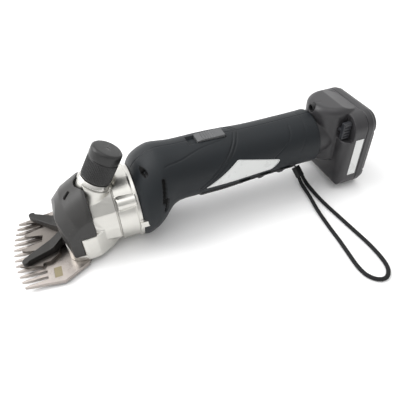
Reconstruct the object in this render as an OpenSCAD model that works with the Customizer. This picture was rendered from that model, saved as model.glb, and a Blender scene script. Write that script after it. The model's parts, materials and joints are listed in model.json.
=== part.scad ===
// Cordless sheep shears: handpiece head, gear case, motor handle and slide-on battery.
// Millimetres. X runs from the comb (-X) to the battery (+X), Y across, Z up from the floor.
// The origin is under the middle of the shears, on the surface that they rest on.

/* [Comb and cutter] */
// Width of the comb over its outer points
comb_w = 76; // [72:1:78]
// Number of comb teeth
comb_teeth = 13; // [11:2:13]
// Thickness of the comb at its heel
comb_t = 3.4; // [3:0.1:3.6]
// Width of the cutter over its outer points
cutter_w = 57; // [52:1:58]
// Number of cutter teeth
cutter_teeth = 4; // [3:1:4]
// Swing of the fork to each side of the middle, in degrees
swing = 10; // [8:1:10]

/* [Head] */
// Lean of the tension knob towards the handle, in degrees
knob_lean = 30.7; // [30:0.1:31]
// Diameter of the tension knob
knob_d = 25.8; // [24:0.2:26]
// Height of the tension knob
knob_h = 28.5; // [26:0.5:30]
// Diameter of the boss under the knob
boss_d = 31; // [30:0.5:31]
// Width of the head cover
cover_w = 59; // [58.5:0.5:60]

/* [Drive] */
// Module of the gear pair
gear_module = 1; // [1:1:1]
// Teeth of the motor pinion
pinion_teeth = 12; // [12:1:12]
// Teeth of the driven gear
gear_teeth = 28; // [28:2:28]
// Diameter of the motor can
motor_d = 36; // [35:0.5:36]
// Length of the motor can
motor_l = 46; // [44:1:46]

/* [Handle] */
// Thickness of the plastic walls
wall = 2.5; // [2:0.1:2.6]
// Rear end of the handle, from the comb points
handle_end = 283; // [282:0.5:283]
// Length of the switch slider
slider_l = 25; // [23:1:25]
// Travel of the switch slider
slider_travel = 7; // [5:0.5:7]

/* [Battery] */
// Width of the battery pack
pack_w = 70.8; // [68:0.2:72]
// Height of the battery pack
pack_h = 80; // [79:0.5:80]
// Rear face of the battery pack, from the comb points
pack_end = 334; // [333:0.5:336]
// Diameter of one battery cell
cell_d = 18.4; // [18.2:0.1:18.6]
// Length of one battery cell
cell_l = 65; // [64:0.5:65.2]

/* [Wrist strap] */
// Diameter of the braided wrist strap
strap_d = 3.6; // [3.2:0.1:3.8]

/* [Hidden] */
$fn = 48;

// Heights are measured from the handle's axis in the modules, and lifted by axis_h at the end.
axis_h = 52;
overall_l = pack_end;
gear_drop = gear_module*(pinion_teeth + gear_teeth)/2;
shaft_fit = 0.04;
gap = 0.3;

// Blades: the comb's top face and its plan
blade_z = -46;
comb_arc = 6.2;
comb_root = 25;
comb_heel = 62;
comb_pitch = comb_w/(comb_teeth - 1);
comb_screw_x = 53;
comb_screw_y = 23;
cutter_t = 3.6;
cutter_gap = 0.05;
cutter_rear = 41;

// Fork: its pivot, its tail to the crank pin and the crank's throw
pivot_x = 68;
pivot_r = 4;
tail_l = 24;
throw = tail_l*sin(swing);
crank_x = pivot_x + tail_l;
roller_r = 3.5;
fork_hub_r = 10;
fork_base = blade_z + 3.9;
fork_hub_low = -38;
fork_hub_top = -28.6;
cup_floor = -26.15;
tail_side = 1.5;

// Tension knob: foot of the knob on its axis
knob_x = 83.4;
knob_z = 14.4;
sleeve_r = 8;
pin_r = 4;
pin_tip = -46.2;

// Head and gear case, both turned about the crank's axis
case_front = 92.4;
case_flange = 107.5;
case_rear = 110.8;
case_r = 30;
boss_angle = 41;
boss_radius = 28;
low_boss = [14, -42];
bearing_r = 11;
bearing_bore = 4;
bearing_w = 7;
front_bearing_x = 101.8;
rear_bearing_x = 120.5;
gear_x = 112;
gear_w = 6.5;
bracket_x = 120.5;
bracket_w = 7.5;
bracket_r = 27.5;
bracket_z = -11.5;
motor_x = bracket_x + bracket_w;

// Handle shell: station, height of its centre and radius
shell_stations = [
    [110.8, -20, 32], [113, -18, 34], [116, -15.8, 35.6], [120, -13, 36], [124, -10.6, 36],
    [128, -8, 35.2], [132, -5.2, 33.7], [136, -2.6, 31.5], [140, -0.6, 29.3], [145, 0.5, 27.7],
    [151, 0.7, 27], [160, 0.6, 26.9], [175, 0.4, 27], [190, 0, 26.9], [205, -0.3, 26.1],
    [220, -0.5, 25.4], [250, -0.5, 25], [275, -0.5, 25], [handle_end, -0.5, 25.2]
];
slider_x = 171;
slider_stem = 19.5;
slider_w = 11;
slider_floor = 24.4;
screw_posts = [[120, 19], [207, 3], [232, -3]];

// Battery pack: block, lobe over the handle's end and stem inside the handle
block_x = 302;
pack_top = 28;
pack_low = pack_top - pack_h;
pack_r = 15;
pack_rise = 6;
cell_x = 321.8;
base_x = 323.6;
lobe_r = 21.7;
lobe_x = 305.4;
lobe_top = 33;
lobe_low = -24;
stem_x = 256;
stem_w = 26;
stem_h = 25;
socket_z = 28.7;
socket_r = 2.85;
socket_depth = 5;
pack_screw_y = 31.9;
pack_screw_z = [-34, 10];
recess_x = 310.4;
latch_x = 303.6;
latch_l = 8;
latch_travel = 2.5;

// Wrist strap: chosen points from the ferrule round the loop and back, in the final frame
strap_route = [
    [111.1, -6.8, 6.7], [111.5, -9.2, 4.4], [111.4, -12, 2.7], [110.9, -16.5, 1.9],
    [108.4, -34, 1.9], [104.6, -54, 1.9], [102.2, -75, 1.9], [100.8, -93, 1.9],
    [99, -109, 1.9], [97.8, -121, 1.9], [98.8, -130.5, 1.9], [103.2, -137.2, 1.9],
    [109.8, -139.8, 1.9], [116, -137, 1.9], [120.2, -130, 1.9], [121.9, -119, 1.9],
    [121.8, -104, 1.9], [120, -86, 1.9], [118, -67, 1.9], [116.3, -50, 1.9],
    [115.7, -35, 1.9], [116.3, -18, 1.9], [116.4, -13, 2.6], [116, -9.6, 4.2],
    [115.5, -6.6, 6.8]
];

// ---- Helpers ----

// Moves the handle-axis frame into the part's own frame.
module place() {
    translate([-overall_l/2, 0, axis_h]) children();
}

// Stands the children's Z along +X, with their origin at x and height z.
module along_x(x, z = 0, y = 0) {
    translate([x, y, z]) rotate([0, 90, 0]) children();
}

// Stands the children's Z along +Y.
module along_y(x, y, z) {
    translate([x, y, z]) rotate([-90, 0, 0]) children();
}

// Stands the children on the knob's leaning axis, s above the knob's foot.
module knob_axis(s = 0) {
    translate([knob_x, 0, knob_z]) rotate([0, knob_lean, 0]) translate([0, 0, s]) children();
}

// Swings the children to the far side, where the fork rests.
module swung() {
    translate([pivot_x, 0, 0]) rotate([0, 0, -swing]) translate([-pivot_x, 0, 0]) children();
}

module mirrored_y() {
    children();
    mirror([0, 1, 0]) children();
}

module tube(r_out, r_in, h) {
    difference() {
        cylinder(r = r_out, h = h);
        translate([0, 0, -1]) cylinder(r = r_in, h = h + 2);
    }
}

module rounded_rect(w, h, r) {
    square([w, h - 2*r], center = true);
    square([w - 2*r, h], center = true);
    for (sx = [-1, 1])
        for (sy = [-1, 1])
            translate([sx*(w/2 - r), sy*(h/2 - r)]) circle(r = r);
}

// A prism whose outline lies in X and Z, from y0 to y1.
module side_prism(outline, y0, y1) {
    translate([0, y1, 0]) rotate([90, 0, 0]) linear_extrude(height = y1 - y0) polygon(outline);
}

function arc(cx, cy, r, a0, a1, n = 10) =
    [for (i = [0:n]) [cx + r*cos(a0 + (a1 - a0)*i/n), cy + r*sin(a0 + (a1 - a0)*i/n)]];

// A solid through round stations [x, height, radius], made wider by grow.
module station_loft(stations, grow = 0, sides = 40) {
    count = len(stations);
    points = [for (s = stations) for (i = [0:sides - 1])
        [s[0], (s[2] + grow)*cos(360*i/sides), s[1] + (s[2] + grow)*sin(360*i/sides)]];
    skin = [for (k = [0:count - 2]) for (i = [0:sides - 1])
        [k*sides + i, (k + 1)*sides + i, (k + 1)*sides + (i + 1)%sides, k*sides + (i + 1)%sides]];
    front = [[for (i = [0:sides - 1]) i]];
    rear = [[for (i = [sides - 1:-1:0]) (count - 1)*sides + i]];
    polyhedron(points = points, faces = concat(skin, front, rear));
}

// The stations between x0 and x1, with exact end stations added.
function station_at(x, k = 0) =
    let (a = shell_stations[k], b = shell_stations[k + 1])
    x <= b[0] || k == len(shell_stations) - 2
        ? let (t = (x - a[0])/(b[0] - a[0])) [x, a[1] + t*(b[1] - a[1]), a[2] + t*(b[2] - a[2])]
        : station_at(x, k + 1);
function stations_between(x0, x1) = concat(
    [station_at(x0)],
    [for (s = shell_stations) if (s[0] > x0 + 0.5 && s[0] < x1 - 0.5) s],
    [station_at(x1)]);

// A round tube swept along a list of points.
function unit(v) = v/norm(v);
function tangent(p, i) = unit(p[min(i + 1, len(p) - 1)] - p[max(i - 1, 0)]);
module swept_tube(p, r, sides = 8, up = [0, 0, 1]) {
    n = len(p);
    points = [for (i = [0:n - 1])
        let (t = tangent(p, i), s = unit(cross(t, up)), u = cross(s, t))
        for (k = [0:sides - 1]) p[i] + r*cos(360*k/sides)*s + r*sin(360*k/sides)*u];
    skin = [for (i = [0:n - 2]) for (k = [0:sides - 1])
        each [[i*sides + k, i*sides + (k + 1)%sides, (i + 1)*sides + (k + 1)%sides],
              [i*sides + k, (i + 1)*sides + (k + 1)%sides, (i + 1)*sides + k]]];
    first = [[for (k = [sides - 1:-1:0]) k]];
    last = [[for (k = [0:sides - 1]) (n - 1)*sides + k]];
    polyhedron(points = points, faces = concat(skin, first, last));
}

// Catmull-Rom smoothing of a hand-chosen route.
function spline_point(a, b, c, d, t) =
    0.5*((2*b) + (c - a)*t + (2*a - 5*b + 4*c - d)*t*t + (3*b - a - 3*c + d)*t*t*t);
function smooth_route(p, steps) = concat(
    [for (i = [0:len(p) - 2]) for (k = [0:steps - 1])
        spline_point(p[max(i - 1, 0)], p[i], p[i + 1], p[min(i + 2, len(p) - 1)], k/steps)],
    [p[len(p) - 1]]);

// Involute gear outline
pressure = 25;
backlash = 0.5;
function roll(rb, r) = sqrt(max(0, pow(r/rb, 2) - 1));
function spread(rb, r) = roll(rb, r)*180/PI - atan(roll(rb, r));
function flank(teeth, r) =
    let (rp = gear_module*teeth/2, rb = rp*cos(pressure))
    90/teeth - backlash + spread(rb, rp) - spread(rb, max(r, rb));
module gear_outline(teeth) {
    rp = gear_module*teeth/2;
    rb = rp*cos(pressure);
    tip = rp + gear_module;
    root = rp - 1.25*gear_module;
    start = max(rb, root);
    steps = 5;
    radii = concat([root], [for (i = [0:steps]) start + (tip - start)*i/steps]);
    up = [for (r = radii) [r, -flank(teeth, r)]];
    down = [for (i = [len(radii) - 1:-1:0]) [radii[i], flank(teeth, radii[i])]];
    polygon([for (k = [0:teeth - 1]) for (q = concat(up, down))
        [q[0]*cos(q[1] + 360*k/teeth), q[0]*sin(q[1] + 360*k/teeth)]]);
}

// ---- Blades ----

// One tooth of the comb at y, from its lower root round its point to its upper root
function comb_tooth(y, low, high) =
    let (tip = comb_arc*pow(2*y/comb_w, 2))
    [low, [tip + 4, y - 1.05], [tip, y - 0.45], [tip, y + 0.45], [tip + 4, y + 1.05], high];

function comb_outline() =
    let (half = comb_w/2, last = comb_teeth - 1, root_w = 1.75)
    concat(
        [for (i = [0:last]) let (y = -half + i*comb_pitch)
            each comb_tooth(y,
                i == 0 ? [comb_root + 1, -half - 3] : [comb_root, y - root_w],
                i == last ? [comb_root + 1, half + 3] : [comb_root, y + root_w])],
        [[37.5, 43.2], [59, 32], [comb_heel, 27], [comb_heel, -27], [59, -32], [37.5, -43.2]]);

module comb() {
    color([0.66, 0.64, 0.63]) place() intersection() {
        translate([0, 0, blade_z - comb_t - 1]) linear_extrude(height = comb_t + 1) difference() {
            polygon(comb_outline());
            for (s = [-1, 1]) translate([comb_screw_x, s*comb_screw_y]) {
                circle(r = 2.7);
                translate([0, -2.7]) square([12, 5.4]);
            }
        }
        side_prism([[-1, blade_z], [comb_heel + 1, blade_z], [comb_heel + 1, blade_z - comb_t],
                    [comb_root + 3, blade_z - comb_t], [12, blade_z - 3], [-1, blade_z - 1.2]],
                   -50, 50);
    }
}

module comb_screws() {
    color([0.5, 0.5, 0.52]) place() mirrored_y() translate([comb_screw_x, comb_screw_y, 0])
        difference() {
            union() {
                translate([0, 0, blade_z - comb_t - 2.2]) cylinder(r = 4.8, h = 2.2);
                translate([0, 0, blade_z - comb_t - 1]) cylinder(r = 2.5, h = comb_t + 11);
            }
            translate([-6, -0.6, blade_z - comb_t - 3]) cube([12, 1.2, 1.8]);
        }
}

module cutter_tooth(y) {
    polygon([[8, y - 0.8], [12, y - 2.2], [28, y - 5.6], [28, y + 5.6], [12, y + 2.2], [8, y + 0.8]]);
}

module cutter() {
    low = blade_z + cutter_gap;
    half = cutter_w/2 - 2.5;
    color([0.6, 0.58, 0.57]) place() swung() difference() {
        intersection() {
            translate([0, 0, low]) linear_extrude(height = cutter_t) {
                for (i = [0:cutter_teeth - 1]) cutter_tooth(-half + i*2*half/(cutter_teeth - 1));
                polygon([[25, -half - 3], [34, -half - 1.5], [cutter_rear, -half + 6],
                         [cutter_rear, half - 6], [34, half + 1.5], [25, half + 3]]);
            }
            side_prism([[7, low], [cutter_rear + 1, low], [cutter_rear + 1, low + cutter_t],
                        [22, low + cutter_t], [10, low + 1.8], [7, low + 1]], -40, 40);
        }
        for (s = [-1, 1]) {
            translate([15.5, s*26, low + 1]) cylinder(r = 1.68, h = 5);
            translate([29, s*20.5, low + 1]) cylinder(r = 1.68, h = 5);
        }
    }
}

// ---- Fork ----

module fork() {
    cheek_y = roller_r + tail_side;
    color([0.33, 0.33, 0.34]) place() swung() difference() {
        union() {
            translate([pivot_x, 0, fork_hub_low])
                cylinder(r = fork_hub_r, h = fork_hub_top - fork_hub_low);
            intersection() {
                translate([0, 0, fork_base]) linear_extrude(height = 18) {
                    for (s = [-1, 1]) {
                        polygon([[13, s*30.2], [12.2, s*28], [13.2, s*24.6], [36, s*7],
                                 [44, 0], [56, 0], [56, s*9.5], [44, s*12], [38, s*19.2]]);
                        translate([14.8, s*27.6]) circle(r = 2.9);
                    }
                    translate([44, -9.5]) square([24, 19]);
                }
                side_prism([[8, fork_base], [44, fork_base], [52, fork_hub_low],
                            [70, fork_hub_low], [70, fork_hub_top], [66.5, fork_hub_top],
                            [65.5, cup_floor + 1.2], [54, cup_floor + 1.2],
                            [44, fork_base + 9], [34, fork_base + 6], [8, fork_base + 4.2]],
                           -40, 40);
            }
            translate([pivot_x, -4, fork_hub_low + 4]) cube([17, 8, 11]);
            translate([pivot_x + 15, -cheek_y - 3, fork_hub_low + 6])
                cube([4, 2*cheek_y + 6, 9]);
            for (s = [-1, 1])
                translate([pivot_x + 18, s*(cheek_y + 1.5) - 1.5, -30.5]) cube([8.8, 3, 21]);
        }
        translate([pivot_x, 0, -60]) cylinder(r = pivot_r + shaft_fit, h = 60);
        translate([61.3, 0, cup_floor]) cylinder(r = 4.2, h = 5);
        for (s = [-1, 1]) {
            translate([15.5, s*26, fork_base - 1]) cylinder(r = 1.5, h = 4);
            translate([29, s*20.5, fork_base - 1]) cylinder(r = 1.5, h = 4);
        }
    }
}

module fork_pins() {
    color([0.75, 0.75, 0.76]) place() swung() mirrored_y()
        for (p = [[15.5, 26], [29, 20.5]])
            translate([p[0], p[1], blade_z + cutter_gap + 1.2]) cylinder(r = 1.5, h = 5.4);
}

module pivot_post() {
    color([0.7, 0.7, 0.72]) place() translate([pivot_x, 0, 0]) {
        translate([0, 0, blade_z + 1]) cylinder(r = pivot_r, h = fork_hub_top - blade_z - 1.2);
        translate([0, 0, blade_z + 3.4]) cylinder(r = 6.5, h = fork_hub_low - blade_z - 3.7);
    }
}

// ---- Tension ----

module tension_pin() {
    color([0.72, 0.72, 0.74]) place() knob_axis() {
        translate([0, 0, pin_tip + 3]) cylinder(r = pin_r - 1, h = 6);
        translate([0, 0, pin_tip + 3]) sphere(r = pin_r - 1);
        translate([0, 0, pin_tip + 7]) cylinder(r = pin_r, h = -pin_tip + 8);
        translate([0, 0, 14.5]) cylinder(r = 7.4, h = 2);
    }
}

module tension_spring() {
    turns = 3;
    color([0.8, 0.8, 0.82]) place() knob_axis(17.15)
        swept_tube([for (i = [0:16*turns])
            [5.4*cos(360*i/16), 5.4*sin(360*i/16), 4.2*i/(16*turns)]], 0.6, 6);
}

module tension_sleeve() {
    color([0.85, 0.85, 0.86]) place() knob_axis() difference() {
        union() {
            translate([0, 0, -26]) cylinder(r = sleeve_r, h = 40);
            translate([0, 0, -4.2]) cylinder(r = 14.3, h = 1.6);
            translate([0, 0, -2.6]) cylinder(r1 = 14.3, r2 = 12.9, h = 2.2);
        }
        translate([0, 0, -30]) cylinder(r = pin_r + shaft_fit, h = 60);
    }
}

module tension_knob() {
    r = knob_d/2;
    ribs = 40;
    color([0.2, 0.2, 0.21]) place() knob_axis() difference() {
        union() {
            cylinder(r = r - 0.5, h = knob_h - 1);
            translate([0, 0, knob_h - 9]) cylinder(r = r, h = 7.4);
            translate([0, 0, knob_h - 1.6]) cylinder(r1 = r, r2 = r - 1.6, h = 1.6);
            for (i = [0:ribs - 1]) rotate([0, 0, 360*i/ribs])
                translate([r - 1, -0.5, 1]) cube([1.1, 1, knob_h - 11.5]);
        }
        translate([0, 0, -1]) cylinder(r = sleeve_r + shaft_fit, h = 23);
    }
}

// ---- Head ----

module head_casting() {
    boss_r = boss_d/2;
    color([0.82, 0.82, 0.83]) place() difference() {
        union() {
            // Neck, narrow beside the boss and wide below it
            intersection() {
                along_x(71, -gear_drop) cylinder(r1 = 27.6, r2 = case_r - 0.6, h = case_front - 72);
                translate([70, 0, 0]) rotate([90, 0, 90]) linear_extrude(height = 30)
                    polygon([[-25, -60], [-25, -24], [-23.4, -9], [-20.4, -3.4], [-14, 1.5],
                             [-9.5, 6], [-9.5, 20], [9.5, 20], [9.5, 6], [14, 1.5],
                             [20.4, -3.4], [23.4, -9], [25, -24], [25, -60]]);
            }
            along_x(case_front - 1.01, -gear_drop) cylinder(r = case_r - 1.2, h = 1.01);
            knob_axis(-40) cylinder(r = boss_r, h = 35.8);
            translate([0, 0, blade_z]) linear_extrude(height = 24)
                polygon([[45.2, -20.4], [46, -23.4], [48.5, -26.4], [53, -28.8], [62, -30.4],
                         [71, -29.4], [82, -23], [90, -17], [90, 17], [82, 23], [71, 29.4],
                         [62, 30.4], [53, 28.8], [48.5, 26.4], [46, 23.4], [45.2, 20.4]]);
        }
        // Chamber for the fork, open to the front, and for its tail, open to the rear
        translate([40, -19.4, blade_z + 3.4]) cube([18, 38.8, 60]);
        translate([56, -17.5, blade_z + 3.4]) cube([32, 35, 31]);
        along_x(83, -gear_drop) cylinder(r = 22, h = 12);
        // Ledge that the cover sits on
        difference() {
            translate([38, -40, blade_z + 5.6]) cube([33.2, 80, 80]);
            translate([52, -24.6, -60]) cube([19.2, 49.2, 44]);
            translate([58.6, -40, -60]) cube([13, 80, 38.2]);
            knob_axis(-40) cylinder(r = 13.4, h = 35.8);
            for (s = [-1, 1]) translate([40, 0, 0]) rotate([90, 0, 90])
                linear_extrude(height = 13)
                    polygon([[s*19, -50], [s*19, -28], [s*25.4, -33.6], [s*27.2, -37.5],
                             [s*27.2, -50]]);
        }
        // Bores for the sleeve, the pivot post and the comb screws
        knob_axis(-48) cylinder(r = sleeve_r, h = 70);
        translate([pivot_x, 0, blade_z + 1]) cylinder(r = pivot_r, h = 5);
        for (s = [-1, 1])
            translate([comb_screw_x, s*comb_screw_y, blade_z - 1]) cylinder(r = 2.5, h = 9.6);
    }
}

// Outer form of the cover, made smaller all round by inset
module cover_form(inset = 0) {
    half = cover_w/2 - inset;
    front = 42 + inset;
    intersection() {
        translate([0, 0, -60]) linear_extrude(height = 90)
            polygon(concat([[72, -half]], arc(front + 62, 0, 62, 208.5, 151.5, 24), [[72, half]]));
        side_prism([[72, -60], [72, 18.4 - inset], [67.6, 15.8 - inset*1.16],
                    [50.5 + inset*0.6, 5.4 - inset], [46.8 + inset, 1], [44 + inset, -4.5],
                    [42.3 + inset, -12], [front, -60]], -50, 50);
        union() {
            along_x(30, -15) cylinder(r = 31.2 - inset, h = 50);
            translate([30, -half, -60]) cube([50, 2*half, 45]);
        }
        // Two leaning cylinders round the front and the top off into the sides
        translate([77.4, 0, -19]) rotate([0, 41.8, 0])
            cylinder(r = 36 - inset, h = 200, center = true, $fn = 96);
        translate([68.1, 0, -24.3]) rotate([0, 90 - knob_lean, 0])
            cylinder(r = 34.5 - inset, h = 200, center = true, $fn = 96);
    }
}

module head_cover() {
    color([0.36, 0.36, 0.37]) place() difference() {
        cover_form();
        cover_form(2);
        translate([71.4, -50, -60]) cube([20, 100, 90]);
        // Arch over the fork
        translate([30, 0, 0]) rotate([90, 0, 90]) linear_extrude(height = 21)
            polygon([[0, -12.5], [5, -14.5], [19, -27.2], [25.6, -33], [40, -62], [-40, -62],
                     [-25.6, -33], [-19, -27.2], [-5, -14.5]]);
        // Lower edges of the sides
        side_prism([[38, -30], [43, -30], [50.5, blade_z + 5.8], [58.4, blade_z + 5.8],
                    [58.4, -21.5], [80, -21.5], [80, -70], [38, -70]], -50, 50);
        // Clearance for the boss under the knob and an oiling slot
        knob_axis(-45) cylinder(r = boss_d/2, h = 80);
        translate([57, -5.5, 9]) rotate([0, -knob_lean, 0]) rotate([0, 0, 29])
            translate([-3.6, -1.4, -6]) cube([7.2, 2.8, 12]);
    }
}

module gear_case() {
    color([0.8, 0.8, 0.81]) place() difference() {
        union() {
            along_x(case_front, -gear_drop) cylinder(r1 = case_r - 0.8, r2 = case_r + 1, h = 16);
            along_x(case_flange, -gear_drop) cylinder(r = 32, h = case_rear - case_flange);
            along_x(case_rear - 1, -gear_drop) cylinder(r = 29.2, h = 3.2);
            for (s = [-1, 1]) {
                along_x(93.2, -gear_drop + boss_radius*sin(boss_angle),
                        s*boss_radius*cos(boss_angle)) cylinder(r = 6, h = case_flange - 92.2);
                along_x(93.2, low_boss[1], s*low_boss[0])
                    cylinder(r = 5.6, h = case_flange - 92.2);
                translate([case_flange, s*32 - 2.6, -gear_drop - 3]) cube([7.5, 5.2, 6]);
            }
        }
        along_x(case_front - 1, -gear_drop) cylinder(r = 22, h = 8.6);
        knob_axis(-40) cylinder(r = boss_d/2 + gap, h = 80);
        along_x(front_bearing_x, -gear_drop) cylinder(r = bearing_r, h = 20);
        along_x(90, -gear_drop) cylinder(r = 9.6, h = 30);
        along_x(case_rear - 1, -gear_drop) cylinder(r = 26.5, h = 5);
        along_x(case_rear - 1, 0) cylinder(r = 8, h = 5);
        for (s = [-1, 1]) {
            along_x(103.2, -gear_drop + boss_radius*sin(boss_angle),
                    s*boss_radius*cos(boss_angle)) cylinder(r = 2.05, h = 15);
            along_x(103.2, low_boss[1], s*low_boss[0]) cylinder(r = 2.05, h = 15);
        }
    }
}

module gear_case_screws() {
    color([0.55, 0.55, 0.57]) place() for (s = [-1, 1])
        for (p = [[s*boss_radius*cos(boss_angle), -gear_drop + boss_radius*sin(boss_angle)],
                  [s*low_boss[0], low_boss[1]]])
            along_x(104, p[1], p[0]) difference() {
                union() {
                    translate([0, 0, 13.6]) cylinder(r = 3.6, h = 2.6);
                    cylinder(r = 2, h = 14);
                }
                translate([0, 0, 14.9]) cylinder(r = 1.6, h = 3, $fn = 6);
            }
}

// ---- Crank, bearings and gears ----

module crank_shaft() {
    color([0.62, 0.62, 0.64]) place() {
        along_x(crank_x - 3.2, -gear_drop, -throw) cylinder(r = 2, h = 7.8);
        along_x(crank_x + 4.4, -gear_drop) cylinder(r = 8.6, h = 4.2);
        along_x(crank_x + 8, -gear_drop) cylinder(r = bearing_bore, h = 127.2 - crank_x - 8);
    }
}

module crank_roller() {
    color([0.75, 0.7, 0.5]) place() along_x(crank_x - 2.8, -gear_drop, -throw)
        tube(roller_r, 2, 5.6);
}

module bearing_outer_rings() {
    color([0.7, 0.7, 0.72]) place() for (x = [front_bearing_x, rear_bearing_x])
        along_x(x, -gear_drop) difference() {
            tube(bearing_r, 9.1, bearing_w);
            translate([0, 0, bearing_w/2]) rotate_extrude() translate([7.5, 0]) circle(r = 2.1);
        }
}

module bearing_inner_rings() {
    color([0.7, 0.7, 0.72]) place() for (x = [front_bearing_x, rear_bearing_x])
        along_x(x, -gear_drop) difference() {
            tube(5.9, bearing_bore, bearing_w);
            translate([0, 0, bearing_w/2]) rotate_extrude() translate([7.5, 0]) circle(r = 2.1);
        }
}

module bearing_balls() {
    color([0.85, 0.85, 0.87]) place() for (x = [front_bearing_x, rear_bearing_x])
        for (i = [0:6])
            along_x(x + bearing_w/2, -gear_drop) rotate([0, 0, 360*i/7])
                translate([7.5, 0, 0]) sphere(r = 2.0, $fn = 24);
}

module drive_gear() {
    color([0.75, 0.72, 0.6]) place() along_x(gear_x, -gear_drop) difference() {
        linear_extrude(height = gear_w) gear_outline(gear_teeth);
        translate([0, 0, -1]) cylinder(r = bearing_bore, h = gear_w + 2);
        for (i = [0:5]) rotate([0, 0, 60*i + 30])
            translate([8.2, 0, -1]) cylinder(r = 2, h = gear_w + 2);
    }
}

module pinion() {
    color([0.6, 0.6, 0.62]) place() along_x(gear_x, 0) rotate([0, 0, 180/pinion_teeth])
        difference() {
            linear_extrude(height = gear_w) gear_outline(pinion_teeth);
            translate([0, 0, -1]) cylinder(r = 1.6, h = gear_w + 2);
        }
}

// ---- Motor ----

module motor_bracket() {
    color([0.68, 0.68, 0.7]) place() difference() {
        along_x(bracket_x, bracket_z) cylinder(r = bracket_r, h = bracket_w);
        along_x(bracket_x - 1, -gear_drop) cylinder(r = bearing_r, h = bearing_w + 1);
        along_x(bracket_x - 1, 0) cylinder(r = 5.2, h = bracket_w + 2);
        for (s = [-1, 1]) along_x(bracket_x - 1, 0, s*12.5) {
            cylinder(r = 1.6, h = bracket_w + 2);
            cylinder(r = 3, h = 4);
        }
        for (s = [-1, 1]) along_x(bracket_x - 1, -24, s*19) cylinder(r = 5, h = bracket_w + 2);
    }
}

module motor_can() {
    r = motor_d/2;
    color([0.6, 0.61, 0.63]) place() difference() {
        union() {
            along_x(motor_x, 0) cylinder(r = r, h = motor_l);
            along_x(motor_x - 3, 0) cylinder(r = 5.2, h = 4);
        }
        along_x(motor_x + 1.2, 0) cylinder(r = r - 1.2, h = motor_l);
        along_x(motor_x - 5, 0) cylinder(r = 1.6 + shaft_fit, h = 8);
        for (s = [-1, 1]) along_x(motor_x - 1, 0, s*12.5) cylinder(r = 1.5, h = 4);
    }
}

module motor_magnets() {
    color([0.25, 0.25, 0.27]) place() along_x(motor_x + 8, 0) difference() {
        tube(motor_d/2 - 1.2, motor_d/2 - 5, 30);
        for (a = [0, 180]) rotate([0, 0, a]) translate([-4, 0, -1]) cube([8, 30, 32]);
    }
}

module motor_endcap() {
    r = motor_d/2;
    color([0.15, 0.15, 0.16]) place() difference() {
        union() {
            along_x(motor_x + motor_l, 0) cylinder(r = r, h = 4.5);
            along_x(motor_x + motor_l - 3, 0) tube(r - 1.2, r - 3, 3.01);
            for (s = [-1, 1]) along_x(motor_x + motor_l + 4, 0, s*11) cylinder(r = 2.2, h = 3);
        }
        along_x(motor_x + motor_l - 5, 0) cylinder(r = 1.6 + shaft_fit, h = 20);
    }
}

module motor_brushes() {
    color([0.3, 0.25, 0.2]) place() mirrored_y() {
        translate([motor_x + motor_l - 7, 5.1, -1.6]) cube([4, 3, 3.2]);
        translate([motor_x + motor_l - 6, 8.1, -1.6]) cube([6, 0.8, 3.2]);
    }
}

module motor_screws() {
    color([0.5, 0.5, 0.52]) place() for (s = [-1, 1]) along_x(bracket_x + 0.4, 0, s*12.5)
        difference() {
            union() {
                cylinder(r = 2.7, h = 2.4);
                cylinder(r = 1.45, h = bracket_w + 1);
            }
            translate([-0.4, -3, -1]) cube([0.8, 6, 1.8]);
        }
}

module motor_shaft() {
    color([0.7, 0.7, 0.72]) place() along_x(gear_x - 0.5, 0)
        cylinder(r = 1.6, h = motor_x + motor_l + 3.5 - gear_x);
}

module armature() {
    color([0.55, 0.35, 0.2]) place() {
        along_x(motor_x + 9, 0) difference() {
            tube(12.6, 1.6, 26);
            for (i = [0:4]) rotate([0, 0, 72*i]) translate([9, -1, -1]) cube([5, 2, 28]);
        }
        along_x(motor_x + 35, 0) tube(5, 1.6, 9);
    }
}

// ---- Handle ----

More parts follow.
